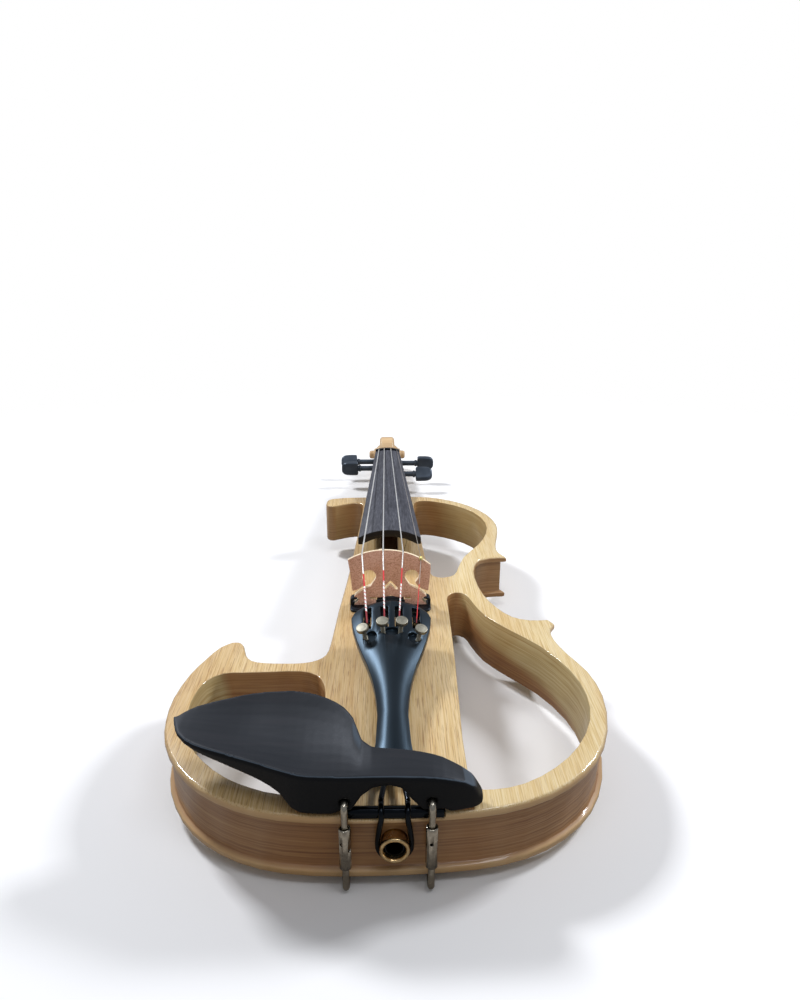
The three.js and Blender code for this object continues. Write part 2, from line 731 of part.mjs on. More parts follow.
const headPoint = ([along, drop]) => (
  new THREE.Vector2(nutAlong + along * headLength, neckTopAtNut - drop * headDrop)
);

function taperedHead(outlineShares, half) {
  const geometry = sideways(outlineShares.map(headPoint), -half, half);
  const place = geometry.attributes.position;
  for (let k = 0; k < place.count; k += 1) {
    const toThroat = Math.max(0, (place.getY(k) - nutAlong) / (voluteAlongShare * headLength));
    place.setX(k, place.getX(k) * (1 + (throatHalf / headHalf - 1) * Math.min(1, toThroat)));
  }
  return geometry;
}

function volute() {
  const middle = headPoint([voluteAlongShare, voluteDropShare]);
  const quarters = voluteRadiusShares.length - 1;
  const total = quarters * voluteSteps;
  const read = (table, step) => {
    const quarter = Math.min(Math.floor(step / voluteSteps), quarters - 1);
    return THREE.MathUtils.lerp(table[quarter], table[quarter + 1], step / voluteSteps - quarter);
  };
  const radial = (step, radius, half) => {
    const angle = (Math.PI / 2) * (step / voluteSteps) - Math.PI / 2;
    return vec(half, middle.x + radius * Math.cos(angle), middle.y + radius * Math.sin(angle));
  };
  const wedges = [];
  for (let step = 0; step < total; step += 1) {
    const corners = [step, step + 1].flatMap((s) => {
      const radius = voluteRadius * read(voluteRadiusShares, s);
      const half = throatHalf * read(voluteHalfShares, s);
      const edge = half * voluteEdgeShare;
      return [
        [radius * voluteCoreShare, half], [radius - edge, half], [radius, half - edge], [radius, edge - half],
        [radius - edge, -half], [radius * voluteCoreShare, -half],
      ].map(([r, h]) => radial(s, r, h));
    });
    wedges.push(loft([corners.slice(0, corners.length / 2), corners.slice(corners.length / 2)]));
  }
  const core = bar(
    vec(-throatHalf, middle.x, middle.y),
    vec(throatHalf, middle.x, middle.y),
    voluteRadius * voluteRadiusShares[voluteCoreTurn],
    jackSegments,
  );
  const eye = turned([
    [0, -eyeHalf], [eyeRadius - eyeEdge, -eyeHalf], [eyeRadius, eyeEdge - eyeHalf],
    [eyeRadius, eyeHalf - eyeEdge], [eyeRadius - eyeEdge, eyeHalf], [0, eyeHalf],
  ], vec(0, middle.x, middle.y), vec(1, 0, 0), pegSegments);
  const inner = bar(
    vec(-throatHalf * voluteHalfShares[quarters - 2], middle.x, middle.y),
    vec(throatHalf * voluteHalfShares[quarters - 2], middle.x, middle.y),
    voluteRadius * voluteRadiusShares[quarters - 1],
    pegSegments,
  );
  return join(...wedges, core, inner, eye);
}

function pegSeat(name) {
  const [along, height] = headPoint([pegAlongShares[name], pegDropShares[name]]).toArray();
  return vec(0, along, height);
}

function headHalfAt(along) {
  return headHalf + (throatHalf - headHalf) * ((along - nutAlong) / (voluteAlongShare * headLength));
}

function makeNeck() {
  const shaft = loft(neckDepthShares.map(([along, depth]) => neckSection(
    bodyLength + clearance + along * (neckStop - clearance),
    depth * heelDeep,
  )));
  const tenonBack = bodyLength - tenonDeep;
  const tenonFront = bodyLength + 2 * clearance + neckDepthShares[1][0] * neckStop;
  const tenon = box(
    vec(-tenonHalf, tenonBack, tenonFloor),
    vec(tenonHalf, tenonFront, bodyThick + overstand - clearance),
  );
  const backKnots = pegboxBackShares.map(([along, drop]) => vec(along, drop, 0));
  const back = new THREE.CatmullRomCurve3(backKnots, false, 'centripetal')
    .getPoints((backKnots.length - 1) * runSteps)
    .map((p) => [p.x, p.y]);
  const pegbox = taperedHead([...pegboxTopShares, ...back], headHalf);
  const cavity = taperedHead(pegboxCavityShares, headHalf * cavityHalfShare);
  const pegHoles = stringNames.map((name) => {
    const seat = pegSeat(name);
    const reach = headHalf + overrun;
    return bar(
      seat.clone().setX(-reach),
      seat.clone().setX(reach),
      boreRound(pegLargeRadius, pegSegments),
      pegSegments,
    );
  });
  addPiece('neck_scroll', cut(join(shaft, tenon, pegbox, volute()), cavity, ...pegHoles), 'wood');
}

// Fingerboard: arched top on straight edges, hollowed where it overhangs the body
function boardSection(along, half, bottom, edge) {
  const ring = [vec(-half, along, bottom), vec(half, along, bottom)];
  const arc = (across) => Math.sqrt(boardRadius ** 2 - across ** 2);
  for (let k = 0; k <= boardArcSteps; k += 1) {
    const across = half * (1 - (2 * k) / boardArcSteps);
    ring.push(vec(across, along, bottom + edge + arc(across) - arc(half)));
  }
  return ring;
}

function makeFingerboard() {
  const boardNutEnd = nutAlong - clearance;
  const bottomAt = (along) => neckTopAt(along) + clearance;
  const solid = loft([boardEndAlong, boardNutEnd].map((along) => (
    boardSection(along, boardHalfAt(along), bottomAt(along), boardEdge)
  )));
  const hollowEnds = [boardEndAlong - clearance, bodyLength - tenonDeep - clearance];
  const hollow = loft(hollowEnds.map((along, k) => {
    const half = boardHalfAt(along) - boardHollowFoot;
    const ring = [vec(-half, along, bottomAt(along) - overrun), vec(half, along, bottomAt(along) - overrun)];
    for (let s = 0; s <= boardArcSteps; s += 1) {
      const across = half * (1 - (2 * s) / boardArcSteps);
      const rise = boardHollowCrown * (1 - (across / half) ** 2) * (1 - k / 2);
      ring.push(vec(across, along, bottomAt(along) + rise));
    }
    return ring;
  }));
  addPiece('fingerboard', cut(solid, hollow), 'board');
}

// Strings run from the levers over the bridge and the nut, and wind on their pegs
const tailPitch = Math.atan((tailFrontRise - tailEndRise) / tailLength);
const tailFront = tailEndAlong + tailLength;
const tailTopHeight = bodyThick + tailFrontRise;
const tailPoint = (across, back, drop) => vec(
  across,
  tailFront - back * Math.cos(tailPitch) + drop * Math.sin(tailPitch),
  tailTopHeight - back * Math.sin(tailPitch) - drop * Math.cos(tailPitch),
);

function bridgeCrest(across) {
  const offset = across - bridgeTopShift;
  return bodyThick + bridgeHeight - bridgeTopRadius + Math.sqrt(bridgeTopRadius ** 2 - offset ** 2);
}

function boardCrestAtNut(across) {
  const edge = neckTopAtNut + clearance + boardEdge;
  return edge + Math.sqrt(boardRadius ** 2 - across ** 2) - Math.sqrt(boardRadius ** 2 - boardNutHalf ** 2);
}

function stringRoute(name) {
  const radius = stringRadii[name];
  const hook = tailPoint(tunerAcross[name], leverPinBack + leverThick / 2, tunerSink[name]);
  const bridgeAcross = bridgeStringShares[name] * bridgeHalf;
  const overBridge = vec(bridgeAcross, bridgeAlong, bridgeCrest(bridgeAcross));
  const nutAcross = nutStringShares[name] * boardNutHalf;
  const overNut = vec(nutAcross, nutAlong + nutDeep / 2, boardCrestAtNut(nutAcross) + stringLift);
  const seat = pegSeat(name);
  const coilRadius = pegLargeRadius + 2 * clearance + radius;
  const pitch = 2 * radius + coilGap;
  const outward = name === 'g' || name === 'd' ? -1 : 1;
  const coilStart = outward * clearance;
  const start = seat.clone().setX(coilStart);
  const toPeg = new THREE.Vector2(overNut.y - seat.y, overNut.z - seat.z);
  const reach = toPeg.length();
  const tangent = Math.atan2(toPeg.y, toPeg.x) - Math.acos(coilRadius / reach);
  const points = [
    hook, hook.clone().lerp(overBridge, 1 / 2), overBridge, overBridge.clone().lerp(overNut, 1 / 2), overNut,
  ];
  const steps = Math.round(coilTurnCount * loopSteps);
  for (let k = 0; k <= steps; k += 1) {
    const angle = tangent - (2 * Math.PI * k) / loopSteps;
    points.push(vec(
      start.x + (outward * pitch * k) / loopSteps,
      seat.y + coilRadius * Math.cos(angle),
      seat.z + coilRadius * Math.sin(angle),
    ));
  }
  const nutAt = points.indexOf(overNut);
  const over = { bridge: points.slice(1, nutAt), nut: points.slice(nutAt - 1, nutAt + 2) };
  return { points, radius, over, coilFrom: points.length - steps - 1 };
}

// Least gap between points of a coil that lie half a turn or more apart
function leastCoilGap({ points, radius, coilFrom }) {
  let least = Infinity;
  for (let a = coilFrom; a < points.length; a += 1) {
    for (let b = a + loopSteps / 2; b < points.length; b += 1) {
      least = Math.min(least, points[a].distanceTo(points[b]) - 2 * radius);
    }
  }
  return least;
}

const routes = Object.fromEntries(stringNames.map((name) => [name, stringRoute(name)]));

function makeStrings() {
  stringNames.forEach((name) => {
    const route = routes[name];
    console.log(`least gap in the coil of string_${name}: ${leastCoilGap(route).toFixed(2)} mm`);
    addPiece(`string_${name}`, tube(route.points, route.radius, stringSides), 'steel');
  });
}

// A groove cutter for one string over the bridge or nut
function groove(name, place, radius) {
  return tube(routes[name].over[place], boreRound(radius, grooveSides), grooveSides);
}

// Nut with four grooves, its top a little over the middle of each string
function makeNut() {
  const seat = neckTopAtNut + clearance;
  const outline = [new THREE.Vector2(-boardNutHalf, seat), new THREE.Vector2(boardNutHalf, seat)];
  for (let k = 0; k <= boardArcSteps; k += 1) {
    const across = boardNutHalf * (1 - (2 * k) / boardArcSteps);
    outline.push(new THREE.Vector2(across, boardCrestAtNut(across) + nutRise));
  }
  const blank = standing(outline, [], nutAlong, nutAlong + nutDeep);
  const grooves = stringNames.map((name) => groove(name, 'nut', stringRadii[name]));
  addPiece('nut', cut(blank, ...grooves), 'black');
}

function makeSaddle() {
  const front = tailEdgeAlong + clearance;
  const back = tailEdgeAlong + saddleDeep;
  const floor = bodyThick - saddleSunk + clearance;
  const crest = bodyThick + saddleRise;
  const shoulder = (crest - floor) * saddleFrontShare;
  const outline = [
    [front, floor], [back, floor], [back, crest - 2 * shoulder], [back - 2 * shoulder, crest],
    [front + shoulder, crest], [front, crest - shoulder],
  ].map(([y, z]) => new THREE.Vector2(y, z));
  addPiece('saddle', sideways(outline, -saddleHalf, saddleHalf), 'black');
}

// Pegs: a tapered shaft through both cheeks and a flat head, square at its root and rounded at its end
function makePegs() {
  stringNames.forEach((name) => {
    const seat = pegSeat(name);
    const outward = name === 'g' || name === 'd' ? -1 : 1;
    const cheek = headHalfAt(seat.y);
    const headStart = pegHeadStarts[name];
    const profile = [
      [0, -cheek - pegStub], [pegSmallRadius - pegStub, -cheek - pegStub], [pegSmallRadius, -cheek],
      [pegLargeRadius, cheek + pegStub], [pegStemRadius, cheek + 2 * pegLargeRadius],
      [pegStemRadius, headStart + pegHeadLength / 2], [0, headStart + pegHeadLength / 2],
    ];
    const shaft = turned(profile, vec(0, 0, 0), vec(outward, 0, 0), pegSegments);
    const head = loft(pegHeadShares.map(([along, half]) => {
      const ring = [];
      for (let k = 0; k < pegHeadSides; k += 1) {
        const angle = (2 * Math.PI * (k + 1 / 2)) / pegHeadSides;
        const square = (value) => Math.sign(value) * Math.abs(value) ** pegHeadSquareShare;
        ring.push(vec(
          outward * (headStart + along * pegHeadLength),
          (Math.sqrt(half) * pegHeadThick * square(Math.cos(angle))) / 2,
          half * pegHeadHalf * square(Math.sin(angle)),
        ));
      }
      return ring;
    }));
    const peg = addPiece(`peg_${name}`, join(shaft, head), 'ebony');
    peg.position.copy(seat);
    peg.rotation.x = 2 * Math.PI * pegRestTurns[name];
  });
}

// Bridge: a pierced plate that thins toward its crest
function makeBridge() {
  const at = ([across, up]) => new THREE.Vector2(across * bridgeHalf, bodyThick + up * bridgeHeight);
  const mirror = (p) => new THREE.Vector2(-p.x, p.y);
  const right = [...bridgeSideShares.map(at)];
  const eye = new THREE.Vector2(bridgeEyeAcross, bodyThick + bridgeEyeHeight);
  const from = right[right.length - 1].clone().sub(eye).angle();
  const to = at(bridgeWingShares[0]).sub(eye).angle();
  const sweep = from - to > 0 ? 2 * Math.PI - (from - to) : to - from;
  const around = [];
  for (let k = 1; k < bridgeEyeSteps; k += 1) {
    const angle = from - ((2 * Math.PI - sweep) * k) / bridgeEyeSteps;
    around.push(new THREE.Vector2(Math.cos(angle), Math.sin(angle)).multiplyScalar(bridgeEyeRadius).add(eye));
  }
  const wing = bridgeWingShares.map(at);
  const side = [...right, ...around, ...wing];
  const crest = [];
  for (let k = 0; k <= bridgeArcSteps; k += 1) {
    const across = bridgeCrestShift + bridgeHalf * (1 - (2 * k) / bridgeArcSteps);
    crest.push(new THREE.Vector2(across, bridgeCrest(across)));
  }
  const arch = bridgeArchShares.map(at);
  const otherSide = side.map(mirror).reverse();
  const underside = [...arch.map(mirror), ...arch.slice(0, -1).reverse()];
  const outline = [...side, ...crest, ...otherSide, ...underside];
  const heart = bridgeHeartShares.map(at);
  const blank = standing(outline, [heart], bridgeFace, bridgeFace + bridgeFootThick);
  const place = blank.attributes.position;
  const foot = bodyThick + bridgeBase;
  for (let k = 0; k < place.count; k += 1) {
    const up = (place.getZ(k) - foot) / (bridgeHeight - bridgeBase);
    const thick = bridgeFootThick + (bridgeTopThick - bridgeFootThick) * up;
    place.setY(k, bridgeFace + (place.getY(k) > bridgeFace + clearance ? thick : 0));
  }
  const grooves = stringNames.map((name) => (
    groove(name, 'bridge', name === 'e' ? protectorRadius : stringRadii[name])
  ));
  addPiece('bridge', cut(blank, ...grooves), 'bridgeWood');
}

// The small tube that keeps the E string out of the bridge's edge
function makeProtector() {
  const { points } = routes.e;
  const ahead = points[3].clone().sub(points[1]).normalize();
  const middle = points[2];
  const half = protectorLong / 2;
  const ends = [middle.clone().addScaledVector(ahead, -half), middle.clone().addScaledVector(ahead, half)];
  const outer = bar(ends[0], ends[1], protectorRadius, pegSegments / 2);
  addPiece('string_protector', cut(outer, groove('e', 'bridge', eRadius)), 'bead');
}

function makeTray() {
  const low = bodyThick + clearance;
  const right = trayClipShares.map(([across, up]) => (
    new THREE.Vector2(across * trayHalf, low + up * trayClipHigh)
  ));
  const mirrored = right.map((p) => new THREE.Vector2(-p.x, p.y)).reverse();
  const floor = low + trayFloor;
  const outline = [
    new THREE.Vector2(-trayHalf, low), new THREE.Vector2(trayHalf, low), ...right.slice().reverse(),
    new THREE.Vector2(trayClipShares[0][0] * trayHalf, floor),
    new THREE.Vector2(trayBlockHalf, floor), new THREE.Vector2(trayBlockHalf, low + trayBlockHigh),
    new THREE.Vector2(-trayBlockHalf, low + trayBlockHigh), new THREE.Vector2(-trayBlockHalf, floor),
    new THREE.Vector2(-trayClipShares[0][0] * trayHalf, floor),
    ...mirrored.slice().reverse(),
  ];
  const middle = bridgeFace + bridgeFootThick / 2 - trayShift;
  const tray = standing(outline, [], middle - trayDeep / 2, middle + trayDeep / 2);
  const plan = [];
  [[1, 1], [-1, 1], [-1, -1], [1, -1]].forEach(([side, back], corner) => {
    for (let k = 0; k <= trayCornerSteps; k += 1) {
      const angle = (Math.PI / 2) * (corner + k / trayCornerSteps);
      plan.push(new THREE.Vector2(
        side * (trayHalf - trayCorner) + trayCorner * Math.cos(angle),
        back * (trayDeep / 2 - trayCorner) + trayCorner * Math.sin(angle) + middle,
      ));
    }
  });
  const rounded = prism(plan, [], 2 * trayClipHigh).translate(0, 0, bodyThick);
  const body = geometryOf(solidOf(tray).intersect(solidOf(rounded)));
  const ahead = box(
    vec(-trayHalf - overrun, middle - trayDeep, floor),
    vec(trayHalf + overrun, bridgeFace - clearance, floor + trayClipHigh + overrun),
  );
  const behind = box(
    vec(-trayHalf - overrun, bridgeFace + bridgeFootThick + clearance, floor),
    vec(trayHalf + overrun, middle + trayDeep, floor + trayClipHigh + overrun),
  );
  addPiece('bridge_pickup', cut(body, ahead, behind), 'tray');
}

// Tailpiece: a crowned shell, narrow in the waist, with channels for the tuners
const tailpieceGroup = new THREE.Group();
tailpieceGroup.position.set(0, tailFront, tailTopHeight);
tailpieceGroup.rotation.x = tailPitch;
violin.add(tailpieceGroup);

const tailHalfAt = (back) => readShares(tailWidthShares, back / tailLength)[0] * tailHalf;
const tailCrownAt = (back) => readShares(tailCrownShares, back / tailLength)[0] * tailCrown;
const tailSurface = (across, back) => (
  -tailCrownAt(back) * Math.abs(across / tailHalfAt(back)) ** tailCrownExponent
);

function tailSection(back, inward, thinner, floor) {
  const half = tailHalfAt(back) - inward;
  const ring = [vec(-half, -back, floor), vec(half, -back, floor)];
  for (let k = 0; k <= tailSides; k += 1) {
    const across = half * Math.cos((Math.PI * k) / tailSides);
    ring.push(vec(across, -back, tailSurface(across, back) - thinner));
  }
  return ring;
}

function makeTailpiece() {
  const shell = loft(tailWidthShares.map(([share]) => {
    const back = share * tailLength;
    return tailSection(back, 0, 0, -tailBottom);
  }));
  const hollow = loft(Array.from({ length: tailHollowStations }, (_, k) => {
    const share = THREE.MathUtils.lerp(...tailHollowShares, k / (tailHollowStations - 1));
    const back = share * tailLength;
    return tailSection(back, tailWall, tailTop, -tailBottom - overrun);
  }));
  const deep = -tailBottom - overrun;
  const cutters = [hollow];
  stringNames.forEach((name) => {
    const middle = tunerAcross[name];
    const left = middle - channelWide / 2;
    const right = middle + channelWide / 2;
    const roof = -leverPinDrop + leverThick / 2 + 2 * clearance;
    cutters.push(box(vec(left, -channelBack, deep), vec(right, -channelFront, roof)));
    cutters.push(box(vec(left, -slotBack, deep), vec(right, -channelFront, overrun)));
    cutters.push(bar(
      vec(left - pinOverlap, -leverPinBack, -leverPinDrop),
      vec(right + pinOverlap, -leverPinBack, -leverPinDrop),
      boreRound(pinRadius, pinSides),
      pinSides,
    ));
    const screw = screwAxis(name);
    cutters.push(bar(
      screw.base.clone().addScaledVector(screw.up, -tailTop - overrun),
      screw.base.clone().addScaledVector(screw.up, overrun),
      boreRound(screwRadius, pinSides),
      pinSides,
    ));
  });
  ['g', 'e'].forEach((name) => {
    const middle = tunerScrewAcross[name] + recessInward[name];
    const roof = tailSurface(middle, tunerScrewBack[name]) - recessDeep;
    cutters.push(new THREE.CylinderGeometry(recessRadius, recessRadius, 2 * overrun, pegSegments)
      .rotateX(Math.PI / 2)
      .scale(1, recessLong / recessRadius, 1)
      .translate(middle, -tunerScrewBack[name], roof + overrun));
  });
  const middleAcross = (tunerScrewAcross.d + tunerScrewAcross.a) / 2;
  cutters.push(new THREE.CylinderGeometry(middleRecessHalf, middleRecessHalf, 2 * overrun, pegSegments)
    .rotateX(Math.PI / 2)
    .scale(1, middleRecessLong / middleRecessHalf, 1)
    .translate(middleAcross, -tunerScrewBack.d, overrun - recessDeep));
  [-1, 1].forEach((side) => {
    cutters.push(bar(
      vec(side * gutHalf, -tailHollowShares[1] * tailLength + overrun, -gutHoleDrop),
      vec(side * gutHalf, -tailLength - overrun, -gutHoleDrop),
      boreRound(gutRadius, gutSides) + clearance / 2,
      gutSides,
    ));
  });
  addPiece('tailpiece', cut(shell, ...cutters), 'ebony', tailpieceGroup);
}

// Each tuner screw leans from the tailpiece's normal; its tip meets the lever's long arm
function screwAxis(name) {
  const across = tunerScrewAcross[name];
  const back = tunerScrewBack[name];
  const base = vec(across, -back, tailSurface(across, back));
  const lean = THREE.MathUtils.degToRad(tunerLean[name]);
  const tilt = THREE.MathUtils.degToRad(tunerTiltAngle);
  const up = vec(Math.sin(lean), -Math.sin(tilt), Math.cos(lean)).normalize();
  return { base, up };
}

function makeTuners() {
  stringNames.forEach((name) => {
    const middle = tunerAcross[name];
    const { base, up } = screwAxis(name);
    const armTop = -leverPinDrop + leverThick / 2;
    const tipLean = screwRadius * Math.sqrt(1 - up.z ** 2);
    const tip = (armTop + clearance + tipLean - base.z) / up.z;
    const screwProfile = [
      [0, tip], [screwRadius, tip], [screwRadius, knobLift], [knobRadius - knobDome, knobLift],
      [knobRadius, knobLift + knobDome], [knobRadius, knobLift + knobThick - knobDome],
      [knobRadius - knobDome, knobLift + knobThick], [0, knobLift + knobThick + knobDome],
    ];
    addPiece(`tuner_screw_${name}`, turned(screwProfile, base, up, knobSegments), 'nickel', tailpieceGroup);
    const forkTop = -tunerSink[name] + leverRise;
    const post = leverThick / 2;
    const noseTop = -tunerSink[name] - leverNoseDrop;
    const bossTop = -leverPinDrop + leverBoss;
    const bossFloor = -leverPinDrop - leverBoss;
    const armEnd = -leverPinBack - leverArm;
    const profile = [
      [armEnd, armTop - leverThick], [-leverPinBack - leverBoss, armTop - leverThick],
      [-leverPinBack - post, bossFloor], [-leverPinBack + post, bossFloor],
      [-leverPinBack + leverBoss, bossFloor + post], [-leverPinBack + leverNose, noseTop - post],
      [-leverPinBack + leverNose, noseTop], [-leverPinBack + post, bossTop],
      [-leverPinBack + post, forkTop], [-leverPinBack - post, forkTop], [-leverPinBack - post, bossTop],
      [-leverPinBack - leverBoss, armTop], [armEnd, armTop],
    ].map(([y, z]) => new THREE.Vector2(y, z));
    const blank = sideways(profile, middle - leverWide / 2, middle + leverWide / 2);
    const pinHole = bar(
      vec(middle - leverWide, -leverPinBack, -leverPinDrop),
      vec(middle + leverWide, -leverPinBack, -leverPinDrop),
      boreRound(pinRadius, pinSides),
      pinSides,
    );
    const fork = box(
      vec(middle - forkSlot / 2, -leverPinBack - leverThick, -tunerSink[name] - forkSlot / 2 - clearance),
      vec(middle + forkSlot / 2, -leverPinBack + leverThick, forkTop + overrun),
    );
    addPiece(`tuner_lever_${name}`, cut(blank, pinHole, fork), 'black', tailpieceGroup);
    const pinHalf = channelWide / 2 + pinOverlap - clearance;
    addPiece(`tuner_pin_${name}`, bar(
      vec(middle - pinHalf, -leverPinBack, -leverPinDrop),
      vec(middle + pinHalf, -leverPinBack, -leverPinDrop),
      pinRadius,
      pinSides,
    ), 'pin', tailpieceGroup);
    const ballBack = -leverPinBack - post - clearance - ballRadius;
    addPiece(`string_ball_${name}`, bar(
      vec(middle - ballLong / 2, ballBack, -tunerSink[name]),
      vec(middle + ballLong / 2, ballBack, -tunerSink[name]),
      ballRadius,
      pegSegments / 2,
    ), 'brass', tailpieceGroup);
  });
}

// Tail gut: knotted inside the tailpiece, over the saddle and once round the jack's collar
function makeTailGut() {
  const knotBack = tailHollowShares[1] * tailLength - gutKnot - clearance;
  const knot = (side) => tailPoint(side * gutHalf, knotBack, gutHoleDrop);
  const crest = bodyThick + saddleRise + clearance + gutRadius;
  const front = tailEdgeAlong - clearance - gutRadius;
  const loopAlong = tailEdgeAlong - jackReach + jackRingThick + clearance + gutRadius;
  const half = (side) => [
    knot(side),
    tailPoint(side * gutHalf, tailLength + clearance, gutHoleDrop),
    vec(side * gutSaddleHalf, tailEdgeAlong + saddleDeep - gutRadius, crest + clearance),
    vec(side * gutSaddleHalf, tailEdgeAlong + saddleDeep / 2, crest),
    vec(side * gutSaddleHalf, tailEdgeAlong + gutRadius, crest),
    vec(side * gutSaddleHalf, front + clearance, crest - gutRadius),
    vec(side * gutSaddleHalf, front - clearance, bodyThick),
    vec((side * (gutSaddleHalf + gutLoopRadius)) / 2, front - clearance, bodyThick - plateEdge - gutRadius),
    vec(side * gutLoopRadius, (front + loopAlong) / 2, jackHeight + gutRadius * 2),
  ];
  const loop = [];
  for (let k = 0; k <= loopSteps / 2; k += 1) {
    const angle = (-Math.PI * k) / (loopSteps / 2);
    loop.push(vec(gutLoopRadius * Math.cos(angle), loopAlong, jackHeight + gutLoopRadius * Math.sin(angle)));
  }
  const ends = [-1, 1].map((side) => {
    const knots = [...half(side), vec(side * gutLoopRadius, loopAlong, jackHeight)];
    return new THREE.CatmullRomCurve3(knots, false, 'centripetal').getPoints((knots.length - 1) * gutSteps);
  });
  const route = [...ends[1].slice(0, -1), ...loop, ...ends[0].slice(0, -1).reverse()];
  const balls = [-1, 1].map((side) => {
    const place = knot(side);
    return new THREE.SphereGeometry(gutKnot, gutSides, gutSides).translate(place.x, place.y, place.z);
  });
  addPiece('tail_gut', join(tube(route, gutRadius, gutSides), ...balls), 'gut');
}

// End-pin jack: a hollow brass barrel with a ring, its sleeve and its contact pin
function makeJack() {
  const face = vec(0, tailEdgeAlong - jackReach, jackHeight);
  const inward = vec(0, 1, 0);
  const barrel = [
    [jackBore, jackReach / 2], [jackMouthRadius, 0], [jackRingRadius - edgeRound / 2, 0],
    [jackRingRadius, edgeRound / 2], [jackRingRadius, jackRingThick], [jackCollarRadius, jackRingThick],
    [jackCollarRadius, jackReach + jackDeep], [jackBore, jackReach + jackDeep], [jackBore, jackReach / 2],
  ];
  addPiece('endpin_jack', turned(barrel, face, inward, jackSegments), 'brass');
  const outer = jackBore - clearance;
  const inner = outer - sleeveWall;
  const sleeveFrom = jackReach / 2;
  const sleeveTo = sleeveFrom + sleeveDeep;
  const floor = contactRadius + clearance;
  const sleeve = [
    [inner, sleeveFrom], [outer, sleeveFrom], [outer, sleeveTo], [floor, sleeveTo],
    [floor, sleeveTo - 2 * sleeveWall], [inner, sleeveTo - 2 * sleeveWall], [inner, sleeveFrom],
  ];
  addPiece('jack_sleeve', turned(sleeve, face, inward, jackSegments), 'black');
  const contact = [
    [0, sleeveTo - contactDeep], [contactRadius, sleeveTo - contactDeep],
    [contactRadius, sleeveTo + contactDeep / 2], [0, sleeveTo + contactDeep / 2],
  ];
  addPiece('jack_contact', turned(contact, face, inward, pegSegments / 2), 'brass');
  const leadFrom = face.y + sleeveTo + contactDeep / 2 + clearance;
  const knots = [vec(0, leadFrom, jackHeight), vec(0, bridgeAlong - leadBend, jackHeight)];
  for (let k = 1; k <= bendSteps; k += 1) {
    const angle = (Math.PI / 2) * (k / bendSteps);
    knots.push(vec(
      0,
      bridgeAlong - leadBend + leadBend * Math.sin(angle),
      jackHeight + leadBend * (1 - Math.cos(angle)),
    ));
  }
  knots.push(vec(0, bridgeAlong, bodyThick));
  addPiece('pickup_lead', tube(knots, leadRadius, leadSides), 'lead');
}

// Chinrest: a dished cup that runs on as a bar over the tailpiece, on two feet
function chinSection(share) {
  const across = chinLeft + share * chinLength;
  const [nearAlong, nearUp] = readShares(chinNearShares, share);
  const [farAlong, farUp] = readShares(chinFarShares, share);
  const [underUp] = readShares(chinUnderShares, share);
  const [thick] = readShares(chinThickShares, share);
  const [dish] = readShares(chinDishShares, share);
  const near = nearAlong * chinDepth;
  const far = farAlong * chinDepth;
  const span = far - near;
  const lip = Math.min(span / chinTopSteps, edgeRound);
  const point = (along, up) => vec(across, along, bodyThick + up * chinHeight);
  const topAt = (part) => {
    const level = nearUp + (farUp - nearUp) * part;
    return level - dish * 4 * part * (1 - part) * Math.min(1, (2 * span) / chinDepth);
  };
  const footReach = Math.min(chinFootShare * chinDepth, near + span * footSpanShare);
  const footBack = Math.max(near + footLips * lip, footReach);
  const bellyAlong = (footBack + far) / 2;
  const bellyUp = topAt((bellyAlong - near) / span) - thick;
  const ring = [point(near + lip, underUp), point(near, Math.max(underUp, nearUp - rimShare))];
  for (let k = 0; k <= chinTopSteps; k += 1) {
    const part = k / chinTopSteps;
    ring.push(point(near + lip + (span - 2 * lip) * part, topAt(part)));
  }
  ring.push(point(far, farUp - rimShare));
  ring.push(point(far - lip, farUp - Math.max(rimShare, thick * rimThickShare)));
  ring.push(point(bellyAlong, bellyUp));
  ring.push(point(footBack, Math.max(underUp, Math.min(bellyUp, underUp + footInsideShare))));
  ring.push(point(footBack - lip, underUp));
  return ring;
}

function makeChinrest() {
  const stations = [...chinTipStations];
  for (let k = 0; k <= chinStations; k += 1) {
    stations.push(chinTipShare + (1 - 2 * chinTipShare) * (k / chinStations));
  }
  const blank = loft(stations.sort((a, b) => a - b).map(chinSection));
  const holes = [-1, 1].map((side) => {
    const across = clampMiddle + side * clampHalf;
    return bar(
      vec(across, tailEdgeAlong - 2 * overrun, bodyThick + rodRise),
      vec(across, tailEdgeAlong + rodInward + clearance, bodyThick + rodRise),
      boreRound(rodRadius, rodSides),
      rodSides,
    );
  });
  const soleCut = box(
    vec(chinLeft - overrun, -chinDepth, 0),
    vec(chinLeft + chinLength + overrun, 2 * chinDepth, corkTop + clearance),
  );
  addPiece('chinrest', cut(blank, ...holes, soleCut), 'ebony');
  const corkBack = chinFootShare * chinDepth - 2 * corkInset;
  [['l', leftFootSpanShares], ['r', rightFootSpanShares]].forEach(([side, [from, to]]) => {
    const corkFront = tailEdgeAlong + edgeRound + corkInset;
    addPiece(`chinrest_cork_${side}`, box(
      vec(chinLeft + from * chinLength + corkInset, corkFront, bodyThick + clearance),
      vec(chinLeft + to * chinLength - corkInset, corkBack, corkTop),
    ), 'cork');
  });
}

// Clamp: bent top rods, barrels threaded on them, and the foot that grips the back
function bentRod(across, along, high, inward, low, upward) {
  const turn = upward ? 1 : -1;
  const points = [vec(across, inward, high)];
  for (let k = 0; k <= bendSteps; k += 1) {
    const angle = (Math.PI / 2) * (k / bendSteps);
    points.push(vec(
      across,
      along + rodBend * (1 - Math.sin(angle)),
      high - turn * rodBend * (1 - Math.cos(angle)),
    ));
  }
  points.push(vec(across, along, low));
  return tube(points, rodRadius, rodSides);
}

